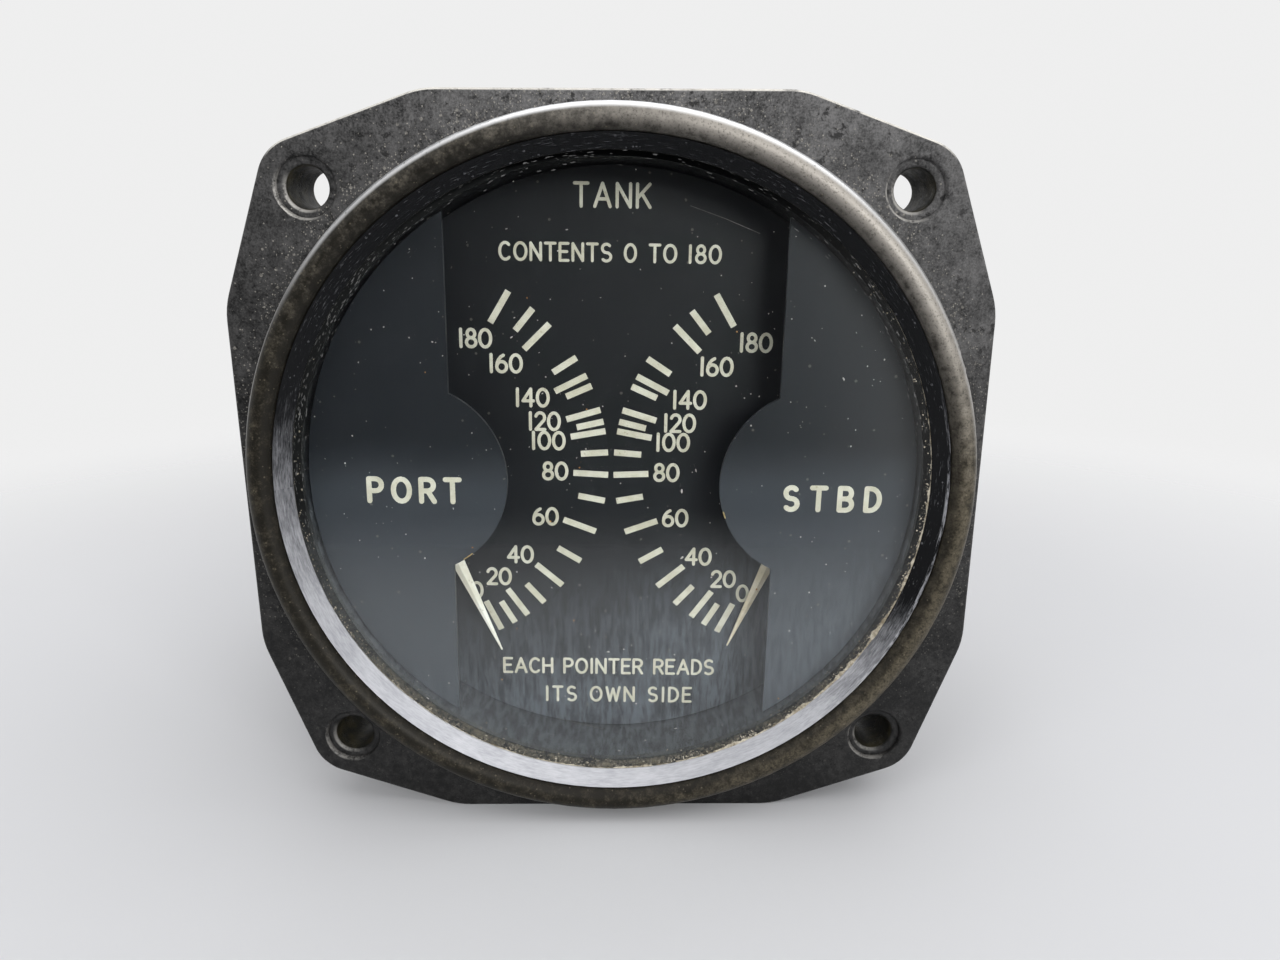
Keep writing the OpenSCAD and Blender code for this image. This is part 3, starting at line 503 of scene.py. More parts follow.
SLOT_MATERIALS = {
    "case_paint": can_paint(),
    "bezel_metal": bezel_metal(),
    "bevel_metal": bevel_metal(),
    "glass": clear_glass(),
    "rubber": moulded("rubber", (0.018, 0.018, 0.018), (0.035, 0.034, 0.033), 0.7),
    "sealant": sealant_cream,
    "dial_paint": dial_paint(
        "dial_paint", (0.0035, 0.004, 0.005), (0.0075, 0.0085, 0.0105), 0.32, reflection_share=0.33, sheen=0.02
    ),
    "mask_paint": dial_paint(
        "mask_paint", (0.0055, 0.0068, 0.009), (0.0105, 0.0125, 0.016), 0.34, reflection_share=0.13, sheen=0.23
    ),
    "pointer_paint": cream_paint("pointer_pale", (0.92, 0.9, 0.82), (0.76, 0.71, 0.58)),
    "brass": brass,
    "steel": metal("screw_steel", (0.6, 0.6, 0.59), (0.32, 0.31, 0.29), 0.28),
    "magnet": metal("magnet", (0.25, 0.25, 0.26), (0.13, 0.13, 0.14), 0.4),
    "jewel": moulded("jewel", (0.42, 0.01, 0.05), (0.6, 0.03, 0.1), 0.05),
    "bobbin": moulded("bobbin", (0.72, 0.66, 0.5), (0.62, 0.55, 0.4), 0.45),
    "copper": wound("copper_wire", (0.62, 0.24, 0.09), (0.28, 0.09, 0.03), 0.25 * MM),
    "resistance_wire": wound("resistance_wire", (0.46, 0.33, 0.18), (0.2, 0.13, 0.06), 0.3 * MM),
    "shield_metal": metal("shield_metal", (0.55, 0.56, 0.57), (0.36, 0.36, 0.36), 0.3, size=4),
    "plate_metal": metal("plate_metal", (0.66, 0.66, 0.66), (0.48, 0.48, 0.47), 0.3, size=5),
    "board": moulded("laminate_board", (0.26, 0.12, 0.05), (0.17, 0.075, 0.03), 0.4, size=3),
    "connector_metal": plated,
    "insert": moulded("insert", (0.05, 0.035, 0.022), (0.028, 0.02, 0.014), 0.3),
    "contact_metal": metal("contact_metal", (0.78, 0.6, 0.27), (0.5, 0.38, 0.17), 0.22),
}

for part in frame["record"]["subparts"]:
    slots = nodes[part["node"]].data.materials
    slots.clear()
    slots.append(SLOT_MATERIALS[part["material_slot"]])
nodes["glass_gasket"].data.materials[0] = old_gasket()
# The right pointer gets a browner, darker cream than the left one
nodes["right_pointer"].data.materials[0] = cream_paint("pointer_brown", (0.84, 0.75, 0.6), (0.66, 0.56, 0.38))


class Shape:
    """Vertices and faces of one mesh, put together from rings of points."""

    def __init__(self):
        self.points = []
        self.faces = []

    def ring(self, points):
        first = len(self.points)
        self.points.extend(Vector(p) for p in points)
        return list(range(first, len(self.points)))

    def tube(self, rings):
        """Joins each closed ring of points to the next."""
        for a, b in zip(rings, rings[1:]):
            for i in range(len(a)):
                j = (i + 1) % len(a)
                self.faces.append((a[i], a[j], b[j], b[i]))

    def wall(self, loops):
        """Makes a ring of each loop and joins them."""
        rings = [self.ring(loop) for loop in loops]
        self.tube(rings)
        return rings

    def lathe(self, profile, count, centre=(0, 0)):
        """Turns a profile, as radius and depth, round an axis along Y."""
        return self.wall([circle(r, y, count, centre) for r, y in profile])

    def four_holes(self, at, profile, count):
        return [self.lathe(profile, count, (x, z)) for x in (-at, at) for z in (-at, at)]

    def end_plates(self, *walls):
        """Closes the first wall at both ends, but for the openings in the other walls."""
        for end in (0, -1):
            self.plate(*(wall[end] for wall in walls))

    def plate(self, *loops):
        """Fills the flat area inside the first loop and outside the others."""
        order = [i for loop in loops for i in loop]
        outlines = [[self.points[i] for i in loop] for loop in loops]
        for triangle in tessellate_polygon(outlines):
            self.faces.append(tuple(order[i] for i in triangle))


def piece(name, shape, material, body="case", replaces=(), smooth=35, flat_faces=False):
    """Makes a mesh object of a shape, rides it on a body and hides the CAD parts it stands for."""
    mesh = bpy.data.meshes.new(name)
    mesh.from_pydata(shape.points, [], shape.faces)
    made = bmesh.new()
    made.from_mesh(mesh)
    bmesh.ops.recalc_face_normals(made, faces=made.faces)
    made.to_mesh(mesh)
    made.free()
    mesh.shade_smooth()
    mesh.set_sharp_from_angle(angle=math.radians(smooth))
    mesh.materials.append(material)
    thing = bpy.data.objects.new(name, mesh)
    scene.collection.objects.link(thing)
    if flat_faces:
        weigh = thing.modifiers.new("flat_faces", "WEIGHTED_NORMAL")
        weigh.keep_sharp = True
    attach(thing, body)
    if replaces:
        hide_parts(*replaces)


def circle(r, y, count, centre=(0, 0)):
    turns = [math.tau * i / count for i in range(count)]
    return [(centre[0] + r * math.cos(t), y, centre[1] + r * math.sin(t)) for t in turns]


def turned_in(points, distance):
    """A convex outline moved in by a distance."""
    moved = []
    for i, p in enumerate(points):
        before = (p - points[i - 1]).normalized()
        after = (points[(i + 1) % len(points)] - p).normalized()
        inward = [Vector((-d.y, d.x)) for d in (before, after)]
        middle = (inward[0] + inward[1]).normalized()
        moved.append(p + middle * distance / middle.dot(inward[0]))
    return moved


def softened(points, radius, least_turn=12, steps=4):
    """An outline with its sharper corners rounded."""
    made = []
    for i, p in enumerate(points):
        to_before = (points[i - 1] - p).normalized()
        to_after = (points[(i + 1) % len(points)] - p).normalized()
        turn = math.pi - to_before.angle(to_after)
        if math.degrees(turn) < least_turn:
            made.append(p)
            continue
        reach = radius * math.tan(turn / 2)
        start, end = p + to_before * reach, p + to_after * reach
        for k in range(steps + 1):
            t = k / steps
            made.append(start * (1 - t) ** 2 + p * 2 * t * (1 - t) + end * t ** 2)
    return made


def rounded_edge(outline, front, back, edge_r, steps=4):
    """Rings of a plate's wall from its front face to its back face, with both edges rounded."""
    rings = []
    for k in range(steps + 1):
        a = math.pi / 2 * k / steps
        drop, inset = edge_r * (1 - math.cos(a)), edge_r * (1 - math.sin(a))
        rings.append([(p.x, front + drop, p.y) for p in turned_in(outline, inset)])
    return rings + [[(x, back + front - y, z) for x, y, z in ring] for ring in reversed(rings)]


def flange_outline(arc_steps=14):
    """Four flats, and slanted edges that touch an arc round each screw hole."""
    c = HOLE_SPACING / 2
    dx, dz = FLAT_LEN / 2 - c, FLATS / 2 - c
    touch = math.atan2(dz, dx) - math.acos(CORNER_R / math.hypot(dx, dz))
    corner = [Vector((FLATS / 2, FLAT_LEN / 2))]
    for i in range(arc_steps + 1):
        a = math.pi / 2 - touch + (2 * touch - math.pi / 2) * i / arc_steps
        corner.append(Vector((c + CORNER_R * math.cos(a), c + CORNER_R * math.sin(a))))
    corner.append(Vector((FLAT_LEN / 2, FLATS / 2)))
    points = [Matrix.Rotation(quarter * math.pi / 2, 2) @ p for quarter in range(4) for p in corner]
    return softened(points, SOFT_CORNER_R)


def flange():
    """The flange casting: soft edges, worn counterbores, the glass seat and the back spigot."""
    shape = Shape()
    wall = shape.wall(rounded_edge(flange_outline(), 0, FLANGE_T, EDGE_R))
    lip, chamfer = 0.3 * MM, 0.5 * MM
    bore = [
        (COUNTERBORE_R + lip, 0), (COUNTERBORE_R + lip * 0.5, lip * 0.25), (COUNTERBORE_R, lip * 0.8),
        (COUNTERBORE_R - lip * 0.2, COUNTERBORE_DEPTH), (HOLE_R + chamfer, COUNTERBORE_DEPTH),
        (HOLE_R + chamfer * 0.55, COUNTERBORE_DEPTH + chamfer * 0.2),
        (HOLE_R + chamfer * 0.2, COUNTERBORE_DEPTH + chamfer * 0.55), (HOLE_R, COUNTERBORE_DEPTH + chamfer),
        (HOLE_R, FLANGE_T - lip), (HOLE_R + lip, FLANGE_T),
    ]
    holes = shape.four_holes(HOLE_SPACING / 2, bore, HOLE_STEPS)
    groove_out, groove_in, groove_y = bezel_r - 0.87 * MM, bezel_r - 1.97 * MM, 2.05 * MM
    seat_r, ledge_y = glass_r + 0.05 * MM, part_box("glass_gasket")[1].y
    bore_r, spigot_r = glass_r - 1.4 * MM, glass_r + 0.4 * MM
    spigot_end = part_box("flange_casting")[1].y
    throat = [
        (groove_out, 0), (groove_out, groove_y), (groove_in, groove_y), (groove_in, 0), (seat_r, 0),
        (seat_r, ledge_y), (bore_r, ledge_y), (bore_r, spigot_end), (spigot_r, spigot_end),
        (spigot_r, FLANGE_T),
    ]
    shape.end_plates(wall, shape.lathe(throat, THROAT_STEPS), *holes)
    piece("flange", shape, flange_black, replaces=["flange_casting"], flat_faces=True)


# Receptacle on the back
BARREL_R = 11.11 * MM
BARREL_STEPS = 96
SOCKET_R = 9.9 * MM
SOCKET_RIM = 0.4 * MM
CONN_CORNER_R = 3 * MM
CONN_CORNER_STEPS = 8
CONN_EDGE_R = 0.35 * MM
CONN_T = 3 * MM
CONN_SCREW_AT = 11.5 * MM
CONN_HOLE_R = 1.6 * MM
CONN_HOLE_STEPS = 32
THREAD_PITCH = 1.27 * MM
THREAD_DEPTH = 0.55 * MM
THREAD_START = 1.6 * MM
THREAD_STEPS = 8
KEY_W = 1.5 * MM
KEY_H = 0.8 * MM


def thread_ring(y, low, high, count=BARREL_STEPS):
    """A ring of the barrel where the thread's crest winds round it."""
    points = []
    for i in range(count):
        t = math.tau * i / count
        phase = (y / THREAD_PITCH - i / count) % 1.0
        depth = THREAD_DEPTH * (1 - abs(2 * phase - 1))
        fade = min(1.0, (y - low) / THREAD_PITCH, (high - y) / THREAD_PITCH)
        r = BARREL_R - depth * max(fade, 0.0)
        points.append((r * math.cos(t), y, r * math.sin(t)))
    return points


def receptacle():
    """Connector shell: square flange, threaded barrel and keyed socket."""
    low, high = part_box("connector_shell")
    plate_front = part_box("connector_gasket")[1].y
    plate_back = plate_front + CONN_T
    c = high.x - CONN_CORNER_R
    outline = []
    for quarter in range(4):
        centre = Matrix.Rotation(quarter * math.pi / 2, 2) @ Vector((c, c))
        for k in range(CONN_CORNER_STEPS + 1):
            a = math.pi / 2 * (quarter + k / CONN_CORNER_STEPS)
            outline.append(centre + CONN_CORNER_R * Vector((math.cos(a), math.sin(a))))
    shape = Shape()
    wall = shape.wall(rounded_edge(outline, plate_front, plate_back, CONN_EDGE_R))
    hole = [(CONN_HOLE_R, plate_front), (CONN_HOLE_R, plate_back)]
    holes = shape.four_holes(CONN_SCREW_AT, hole, CONN_HOLE_STEPS)
    first, last = plate_back + THREAD_START, high.y - SOCKET_RIM
    count = round((last - first) / THREAD_PITCH * THREAD_STEPS)
    inside = [
        (BARREL_R, plate_front), (BARREL_R, low.y), (SOCKET_R, low.y), (SOCKET_R, last),
        (SOCKET_R + SOCKET_RIM * 0.6, high.y), (BARREL_R - SOCKET_RIM * 1.4, high.y),
    ]
    loops = [circle(r, y, BARREL_STEPS) for r, y in inside]
    for k in range(count, -1, -1):
        loops.append(thread_ring(first + (last - first) * k / count, first, last))
    loops.append(circle(BARREL_R, plate_back, BARREL_STEPS))
    shape.end_plates(wall, shape.wall(loops), *holes)
    half, tip, root = KEY_W / 2, SOCKET_R - KEY_H, SOCKET_R + SOCKET_RIM
    key = [(-half, tip), (half, tip), (half, root), (-half, root)]
    key_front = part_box("connector_insert")[1].y
    for end in shape.wall([[(x, y, z) for x, z in key] for y in (key_front, last)]):
        shape.plate(end)
    piece("receptacle", shape, plated, replaces=["connector_shell"], flat_faces=True)


# Sealant bead: where it is thick, its roughness as fineness and share, and its size at amount 1
BEAD_STEPS = 900
BEAD_THICK_AT = math.radians(40)
BEAD_LOW_AT = math.radians(100)
BEAD_NOISE = ((26, 0.5), (75, 0.4), (190, 0.25))
BEAD_LEAST = 0.015
BEAD_W = 0.75 * MM
BEAD_H = 0.3 * MM
BEAD_TUCK = 0.03 * MM


def sealant_bead():
    """Hardened sealant at the glass's edge: thick and crumbly at the bottom and right, thin elsewhere."""
    shape = Shape()
    rings = []
    for i in range(BEAD_STEPS):
        t = math.tau * i / BEAD_STEPS
        there = Vector((math.cos(t), math.sin(t), 0))
        low_right = max(0.0, math.cos(t + BEAD_THICK_AT))
        low = max(0.0, math.cos(t + BEAD_LOW_AT))
        rough = sum(noise.noise(there * fineness) * share for fineness, share in BEAD_NOISE)
        patchy = 0.45 + 1.3 * max(0.0, noise.noise(there * 9) + 0.25)
        amount = 0.02 + (0.36 * low_right ** 4 + 0.1 * low) * patchy
        amount += rough * (0.01 + 0.55 * low_right ** 2 + 0.12 * low)
        amount = max(BEAD_LEAST, amount)
        width, height, tuck = BEAD_W * amount, BEAD_H * amount, BEAD_TUCK * min(1.0, amount / 0.15)
        section = [
            (window_r + tuck, 0), (window_r + tuck, -height * 0.9), (window_r - width * 0.25, -height),
            (window_r - width * 0.75, -height * 0.6), (window_r - width, 0),
            (window_r - width * 0.5, 0.01 * MM),
        ]
        rings.append(shape.ring([(r * there.x, glass_front + y, r * there.y) for r, y in section]))
    shape.tube(rings + rings[:1])
    piece("sealant_bead", shape, sealant_cream, replaces=["glass_sealant"], smooth=60)


# Loose dirt on the glass: its grains, and the middle and spread of the crumbs in degrees
DIRT_SEED = 11
GRAIN_SIDES = 7
DUST_GRAINS = 230
RUST_GRAINS = 12
CRUMBS = 420
CRUMBS_AT = (-52, 42)
# Dirt along its rim: middle and spread in degrees, grains, reach inward in mm, stretch, largest size in mm
RIM_GRIME = ((-98, 30, 620, 0.62, 1.3, 0.1), (-42, 22, 320, 0.4, 1.2, 0.1), (-150, 20, 160, 0.5, 1.6, 0.1))
RIM_SCUFFS = ((160, 26, 320, 0.7, 6.0, 0.05), (25, 26, 170, 0.9, 7.0, 0.05), (100, 30, 90, 0.6, 6.0, 0.05))


def grain(shape, place, size, height, chance, long=1.0, domed=True):
    """A small irregular lump on the glass, facing the front; long stretches it along the rim."""
    along, out = Vector((-place.z, 0, place.x)).normalized(), Vector((place.x, 0, place.z)).normalized()
    steps = []
    for i in range(GRAIN_SIDES):
        t = math.tau * i / GRAIN_SIDES
        r = size * (0.7 + 0.5 * chance.random())
        steps.append(along * (long * r * math.cos(t)) + out * (r * math.sin(t)))
    rings = [shape.ring([place + step for step in steps])]
    shape.plate(rings[0])
    if domed:
        rings.append(shape.ring([place + step * 0.6 - Vector((0, height * 0.8, 0)) for step in steps]))
        shape.tube(rings)
    top = shape.ring([place - Vector((0, height, 0))])[0]
    for i in range(GRAIN_SIDES):
        shape.faces.append((rings[-1][i], rings[-1][(i + 1) % GRAIN_SIDES], top))


def on_glass(r, t):
    return Vector((r * math.cos(t), glass_front, r * math.sin(t)))


def glass_dust():
    """Pale dust over the glass, a few rusty grains, crumbs fallen from the sealant, and a dirty rim."""
    chance = random.Random(DIRT_SEED)
    dust, rust, crumbs, grime, scuffs = Shape(), Shape(), Shape(), Shape(), Shape()

    def anywhere(margin):
        r = (window_r - margin) * math.sqrt(chance.random())
        return on_glass(r, math.tau * chance.random())

    for _ in range(DUST_GRAINS):
        at = anywhere(1.2 * MM)
        size = MM * (0.035 + 0.07 * chance.random() ** 2)
        long = 2.5 if chance.random() < 0.12 else 1.0
        grain(dust, at, size, size * 0.5, chance, long)
    for _ in range(RUST_GRAINS):
        at = anywhere(2 * MM)
        size = MM * (0.06 + 0.05 * chance.random())
        grain(rust, at, size, size * 0.5, chance)
    for _ in range(CRUMBS):
        t = math.radians(chance.gauss(*CRUMBS_AT))
        size = MM * (0.03 + 0.08 * chance.random() ** 2)
        at = on_glass(window_r - MM * (0.15 + abs(chance.gauss(0, 0.4))), t)
        grain(crumbs, at, size, size * 0.7, chance)
    for shape, bands in ((grime, RIM_GRIME), (scuffs, RIM_SCUFFS)):
        for middle, spread, count, reach, long, largest in bands:
            for _ in range(count):
                t = math.radians(chance.gauss(middle, spread))
                size = MM * largest * (0.3 + 0.7 * chance.random() ** 2)
                at = on_glass(window_r - MM * (0.06 + abs(chance.gauss(0, reach))), t)
                grain(shape, at, size, size * 0.35, chance, long, domed=False)
    piece("glass_dust", dust, crumbly("dust", (0.58, 0.56, 0.53), (0.36, 0.345, 0.32)))
    piece("glass_rust", rust, crumbly("rust", (0.5, 0.27, 0.08), (0.28, 0.12, 0.03)))
    piece("sealant_crumbs", crumbs, sealant_cream)
    piece("rim_grime", grime, crumbly("grime", (0.4, 0.36, 0.285), (0.12, 0.106, 0.082)))
    piece("rim_scuffs", scuffs, scuff_grey)


# Dial print: sizes in millimetres on the dial's face
PRINT_SHIFT = -0.45
SCALE_X = 24.02
SCALE_Z = 0.1
MARK_OUT = 23.72
LONG_IN = 19.54
SHORT_IN = 20.47
MARK_W = 0.74
LABEL_R = 18.3
LABEL_R_STEP = 0.47
DIGIT_H = 2.0
DIGIT_LINE = 0.37
PRINT_T = 0.03 * MM
# Angle of each mark above the line between the two pivots; the scale isn't even
MARK_ANGLES = {
    0: -63.7, 10: -59.0, 20: -54.4, 30: -47.9, 40: -40.1, 50: -30.6, 60: -20.3, 70: -10.5, 80: -2.6, 90: 4.1,
    100: 10.4, 110: 13.2, 120: 16.7, 130: 24.0, 140: 27.2, 150: 33.0, 160: 44.9, 170: 51.1, 180: 59.2,
}
# The long marks, and the angle at which each one's number sits
LABEL_ANGLES = {
    0: -64.4, 20: -55.0, 40: -40.7, 60: -21.6, 80: -2.3,
    100: 10.3, 120: 18.5, 140: 28.9, 160: 45.9, 180: 62.5,
}
# Sideways shift of single numbers: side of the dial, value
LABEL_NUDGE = {
    (-1, 0): -0.15, (-1, 20): 0.38, (-1, 40): -0.15, (-1, 120): 0.15, (-1, 180): 0.5,
    (1, 0): 0.2, (1, 120): 0.15, (1, 180): 0.5,
}
# Plain capitals and digits, one unit high: width, then each stroke. Four numbers are a line between two
# points; six are part of an ellipse, as its middle, its two radii, and its start and end in degrees.
GLYPHS = {
    "0": (0.64, (0.32, 0.5, 0.32, 0.5, 0, 360)),
    "1": (0.1, (0, 0, 0, 1)),
    "2": (0.53, (0.26, 0.72, 0.26, 0.28, 165, -38), (0.465, 0.548, 0, 0), (0, 0, 0.53, 0)),
    "4": (0.62, (0.46, 0, 0.46, 1), (0.46, 1, 0, 0.3), (0, 0.3, 0.62, 0.3)),
    "6": (0.57, (0.285, 0.3, 0.285, 0.3, 0, 360), (0.57, 0.3, 0.57, 0.7, 180, 108)),
    "8": (0.54, (0.27, 0.76, 0.22, 0.24, 0, 360), (0.27, 0.26, 0.27, 0.26, 0, 360)),
    "A": (0.7, (0, 0, 0.35, 1), (0.35, 1, 0.7, 0), (0.12, 0.33, 0.58, 0.33)),
    "B": (0.54, (0, 0, 0, 1), (0, 1, 0.27, 1), (0, 0.52, 0.3, 0.52), (0, 0, 0.28, 0),
          (0.27, 0.76, 0.23, 0.24, 90, -90), (0.28, 0.26, 0.26, 0.26, 90, -90)),
    "C": (0.62, (0.34, 0.5, 0.34, 0.5, 48, 312)),
    "D": (0.58, (0, 0, 0, 1), (0, 1, 0.18, 1), (0, 0, 0.18, 0), (0.18, 0.5, 0.4, 0.5, 90, -90)),
    "E": (0.5, (0, 0, 0, 1), (0, 1, 0.5, 1), (0, 0.52, 0.42, 0.52), (0, 0, 0.5, 0)),
    "H": (0.58, (0, 0, 0, 1), (0.58, 0, 0.58, 1), (0, 0.5, 0.58, 0.5)),
    "I": (0.12, (0.06, 0, 0.06, 1)),
    "K": (0.58, (0, 0, 0, 1), (0.56, 1, 0, 0.38), (0.2, 0.6, 0.58, 0)),
    "N": (0.6, (0, 0, 0, 1), (0, 1, 0.6, 0), (0.6, 0, 0.6, 1)),
    "O": (0.7, (0.35, 0.5, 0.35, 0.5, 0, 360)),
    "P": (0.54, (0, 0, 0, 1), (0, 1, 0.28, 1), (0, 0.46, 0.28, 0.46), (0.28, 0.73, 0.26, 0.27, 90, -90)),
    "R": (0.56, (0, 0, 0, 1), (0, 1, 0.28, 1), (0, 0.48, 0.28, 0.48), (0.28, 0.74, 0.26, 0.26, 90, -90),
          (0.28, 0.48, 0.56, 0)),
    "S": (0.54, (0.27, 0.75, 0.25, 0.25, 40, 270), (0.27, 0.25, 0.27, 0.25, 90, -140)),
    "T": (0.6, (0, 1, 0.6, 1), (0.3, 1, 0.3, 0)),
    "W": (0.86, (0, 1, 0.21, 0), (0.21, 0, 0.43, 0.9), (0.43, 0.9, 0.65, 0), (0.65, 0, 0.86, 1)),
    " ": (0.3,),
}
# Words: text, middle, height, stroke and width
DIAL_WORDS = (
    ("TANK", (-0.57, 31.1), 2.45, 0.36, 8.4),
    ("CONTENTS 0 TO 180", (-0.75, 24.9), 1.85, 0.32, 24.9),
    ("EACH POINTER READS", (-0.48, -26.1), 1.9, 0.32, 26.5),
    ("ITS OWN SIDE", (0.8, -30.0), 1.9, 0.32, 18.5),
)
MASK_WORDS = (("PORT", (-22.6, -1.55), 2.6, 0.58, 10.2), ("STBD", (25.0, -1.9), 2.6, 0.58, 10.8))


def arc(x, y, rx, ry, start, end):
    """Points on an ellipse between two angles in degrees."""
    steps = max(4, round(abs(end - start) / 18))
    angles = [math.radians(start + (end - start) * i / steps) for i in range(steps + 1)]
    return [Vector((x + rx * math.cos(a), y + ry * math.sin(a))) for a in angles]


def stroke_points(numbers):
    if len(numbers) == 4:
        return [Vector(numbers[:2]), Vector(numbers[2:])]
    return arc(*numbers)


def ribbon(points, width, cap_steps=5):
    """A stroke as flat polygons, with round ends where it isn't a closed loop."""
    closed = (points[0] - points[-1]).length < 1e-6
    steps = [b - a for a, b in zip(points, points[1:])]
    before = [steps[-1 if closed else 0]] + steps
    after = steps + [steps[0 if closed else -1]]
    sides = []
    for step_in, step_out in zip(before, after):
        normals = [Vector((-d.y, d.x)).normalized() for d in (step_in, step_out)]
        middle = (normals[0] + normals[1]).normalized()
        sides.append(middle * (width / 2) / middle.dot(normals[0]))
    polygons = []
    for i in range(len(steps)):
        a, b = points[i], points[i + 1]
        polygons.append([a - sides[i], b - sides[i + 1], b + sides[i + 1], a + sides[i]])
    if not closed:
        for end, side in ((points[-1], sides[-1]), (points[0], -sides[0])):
            start = math.atan2(-side.y, -side.x)
            turns = [start + math.pi * k / cap_steps for k in range(cap_steps + 1)]
            polygons.append([end + width / 2 * Vector((math.cos(t), math.sin(t))) for t in turns])
    return polygons


def wording(text, centre, height, stroke, width=None, gap=0.22):
    """Polygons of a line of text, one list for each letter, centred on a point and fitted to a width."""
    widths = [GLYPHS[letter][0] * height for letter in text]
    spread = gap * height
    if width is not None:
        spread = (width - sum(widths)) / (len(text) - 1)
    at = centre[0] - (sum(widths) + spread * (len(text) - 1)) / 2
    letters = []
    for letter, w in zip(text, widths):
        corner = Vector((at, centre[1] - height / 2))
        strokes = [[corner + p * height for p in stroke_points(s)] for s in GLYPHS[letter][1:]]
        letters.append([polygon for s in strokes for polygon in ribbon(s, stroke)])
        at += w + spread
    return [polygons for polygons in letters if polygons]


def covered(point, polygons):
    """Whether a point lies in any of the convex, anticlockwise polygons."""
    return any(
        all((b - a).cross(point - a) >= 0 for a, b in zip(polygon, polygon[1:] + polygon[:1]))
        for polygon in polygons
    )


def printed(name, groups, face_y, material=print_cream):
    """Thin raised paint on the dial or a mask: the union of each group's polygons, in millimetres."""
    shape = Shape()
    for polygons in groups:
        points, loops = [], []
        for polygon in polygons:
            loops.append(list(range(len(points), len(points) + len(polygon))))
            points.extend(polygon)
        flat, _, triangles = delaunay_2d_cdt(points, [], loops, 0, 1e-5)[:3]
        triangles = [t for t in triangles if covered(sum((flat[i] for i in t), Vector((0, 0))) / 3, polygons)]
        top = shape.ring([dial_place @ Vector((p.x * MM, face_y - PRINT_T, p.y * MM)) for p in flat])
        base = shape.ring([dial_place @ Vector((p.x * MM, face_y + PRINT_T / 3, p.y * MM)) for p in flat])
        sides = {}
        for t in triangles:
            shape.faces.append(tuple(top[i] for i in t))
            shape.faces.append(tuple(base[i] for i in reversed(t)))
            for k in range(3):
                sides[(t[k], t[(k + 1) % 3])] = True
        for a, b in sides:
            if (b, a) not in sides:
                shape.faces.append((top[a], base[a], base[b], top[b]))
    used = sorted({i for face in shape.faces for i in face})
    renumber = {old: new for new, old in enumerate(used)}
    shape.points = [shape.points[i] for i in used]
    shape.faces = [tuple(renumber[i] for i in face) for face in shape.faces]
    piece(name, shape, material)


def from_pivot(side, angle):
    a = math.radians(angle)
    return Vector((-side * math.cos(a), math.sin(a)))


def dial_scales():
    """Marks and numbers of the two scales, the right one a mirror image of the left."""
    marks, numbers = [], []
    for side in (-1, 1):
        pivot = Vector((PRINT_SHIFT + side * SCALE_X, SCALE_Z))
        for value, angle in MARK_ANGLES.items():
            way = from_pivot(side, angle)
            wide = Vector((-way.y, way.x)) * MARK_W / 2
            inner = pivot + way * (LONG_IN if value in LABEL_ANGLES else SHORT_IN)
            outer = pivot + way * MARK_OUT
            marks.append([[inner - wide, outer - wide, outer + wide, inner + wide]])
        for value, angle in LABEL_ANGLES.items():
            r = LABEL_R - LABEL_R_STEP * len(str(value))
            at = pivot + r * from_pivot(side, angle)
            at.x += LABEL_NUDGE.get((side, value), 0.0)
            numbers += wording(str(value), at, DIGIT_H, DIGIT_LINE)
    printed("scale_marks", marks, dial_front)
    printed("scale_numbers", numbers, dial_front)


def dial_words():
    """Plain words of the builder's own, where the dial and masks carry lettering."""
    faces = (("dial_words", DIAL_WORDS, dial_front), ("mask_words", MASK_WORDS, mask_front))
    for name, lines, face_y in faces:
        printed(name, [letter for words in lines for letter in wording(*words)], face_y)


# Round lobes of the masks, and bits of their edges that show bare metal: side, start, end in degrees, width
LOBE_X = 23.15
LOBE_Z = -0.45
LOBE_R = 11.02
CHIPS = ((-1, -57.5, -51.5, 0.14), (1, 197, 200.5, 0.16))
# Scratches on the glass, from end to end
SCRATCHES = (((7.6, 29.8), (11.2, 28.6), (14.8, 27.2)), ((-6.4, -28.5), (-3.4, -29.3), (-0.5, -29.9)))
SCRATCH_W = 0.05


def small_wear():
    """Bare metal on the masks' edges, and scratches on the glass."""
    chips = []
    for side, start, end, width in CHIPS:
        chips.append(ribbon(arc(side * LOBE_X, LOBE_Z, LOBE_R, LOBE_R, start, end), width))
    printed("mask_chips", chips, mask_front, brass)
    scratches = [ribbon([Vector(p) for p in points], SCRATCH_W) for points in SCRATCHES]
    printed("glass_scratches", scratches, glass_front, scuff_grey)


flange()
receptacle()
sealant_bead()
glass_dust()
dial_scales()
dial_words()
small_wear()

# Camera: solved on the photo's flange holes, for an image of 1280 by 960
CAMERA_AT = Vector((1.9, -97.1, 26.3)) * MM
CAMERA_TURN = (75.09, -0.2, -0.57)
FOCAL_PX = 901.3
IMAGE_W = 1280
SENSOR_W = 36.0

lens = bpy.data.cameras.new("camera")
lens.sensor_width = SENSOR_W
lens.lens = FOCAL_PX / IMAGE_W * SENSOR_W
lens.clip_start = 1 * MM
camera = bpy.data.objects.new("camera", lens)
camera.location = CAMERA_AT
camera.rotation_euler = [math.radians(a) for a in CAMERA_TURN]
scene.collection.objects.link(camera)
scene.camera = camera

# Floor, lamps and surroundings
FLOOR_R = 0.3
FLOOR_STEPS = 128
FLOOR_FULL_R = 0.09
FLOOR_FRONT = (-0.045, -0.13)
FLOOR_PALE = (0.715, 0.72, 0.735)
FLOOR_DIM = 0.96
BACKDROP = (0.86, 0.86, 0.86)
CAMERA_SIDE = (0.02, 0.02, 0.022)
AMBIENT = (0.42, 0.42, 0.43)
# Where the surroundings go from pale to dark, along each axis of the way one looks
DARK_X = (0.5, 0.12)
DARK_Y = (-0.1, -0.6)
DARK_Z = (0.75, 0.3)
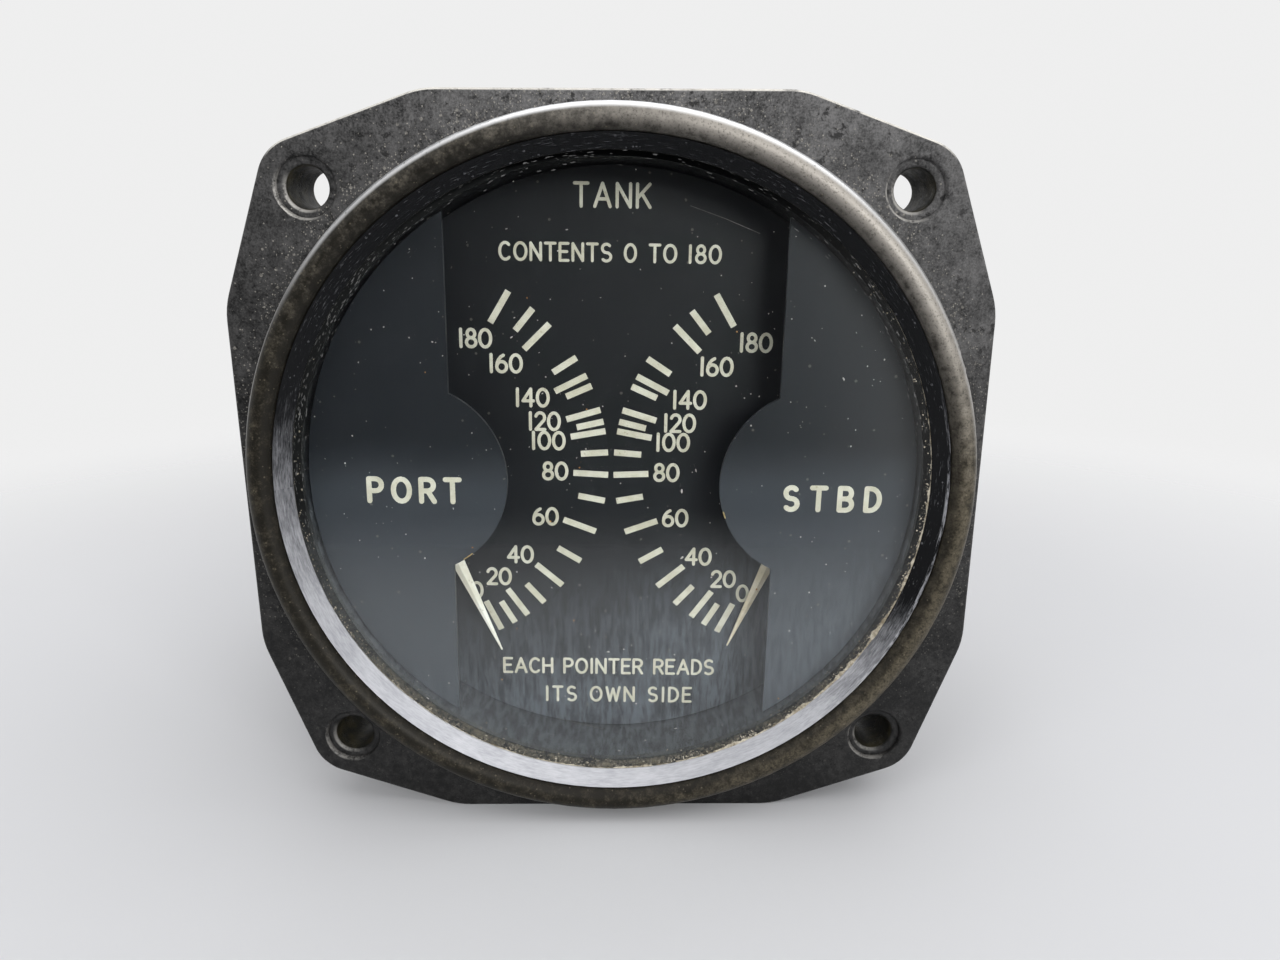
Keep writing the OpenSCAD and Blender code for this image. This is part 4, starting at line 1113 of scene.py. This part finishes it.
# Lamps: name, place, target, size, power
LAMPS = (
    ("top_light", (0.14, 0.0, 0.7), (0, 0.02, 0), (1.1, 1.1), 4.0),
    ("front_light", (0.42, -0.8, 0.27), (0, 0, 0), (0.5, 0.2), 4.4),
    ("side_light", (-0.45, -0.5, 0.34), (0, 0, 0.02), (0.35, 0.35), 1.1),
)


def floor():
    """A pale disc that fades out towards its edge, and sooner in front, where the glass mirrors it."""
    shape = Shape()
    shape.plate(shape.ring((x, y, -FLATS / 2) for x, _, y in circle(FLOOR_R, 0, FLOOR_STEPS)))
    mesh = bpy.data.meshes.new("floor")
    mesh.from_pydata(shape.points, [], shape.faces)
    p = Paint("pale_floor")
    clouds = p.noise(60, detail=4)
    p.colour = p.blend(clouds, FLOOR_PALE, tuple(c * FLOOR_DIM for c in FLOOR_PALE))
    p.surface(Roughness=0.9)
    x, y, _ = p.axes()
    far = p.most(p.span(p.length(x, y), FLOOR_FULL_R, FLOOR_R), p.span(y, *FLOOR_FRONT))
    mesh.materials.append(p.clear_where(far))
    ground = bpy.data.objects.new("floor", mesh)
    scene.collection.objects.link(ground)


def soft_box(name, at, target, size, power):
    """A rectangular lamp turned to a target."""
    lamp = bpy.data.lights.new(name, "AREA")
    lamp.shape = "RECTANGLE"
    lamp.size, lamp.size_y = size
    lamp.energy = power
    thing = bpy.data.objects.new(name, lamp)
    thing.location = at
    thing.rotation_euler = (Vector(target) - Vector(at)).to_track_quat("-Z", "Y").to_euler()
    scene.collection.objects.link(thing)


def surroundings():
    """Pale round the object and dark on the camera's side, where the glass mirrors it."""
    world = bpy.data.worlds.new("surroundings")
    scene.world = world
    world.use_nodes = True
    p = Nodes(world.node_tree, "Generated")
    x, y, z = p.axes()
    dark = p.times(p.span(y, *DARK_Y), p.span(z, *DARK_Z), p.span(x, *DARK_X))
    path = p.node("ShaderNodeLightPath").outputs
    diffuse, glossy = path["Diffuse Depth"], path["Glossy Depth"]
    lit = p.blend(p.math("GREATER_THAN", diffuse, 0.5), p.blend(dark, BACKDROP, CAMERA_SIDE), AMBIENT)
    bounced = p.math("GREATER_THAN", p.add(diffuse, glossy), 0.5)
    p.put(p.tree.nodes["Background"].inputs["Color"], p.blend(bounced, BACKDROP, lit))


floor()
for lamp_values in LAMPS:
    soft_box(*lamp_values)
surroundings()
scene.view_settings.view_transform = "Standard"
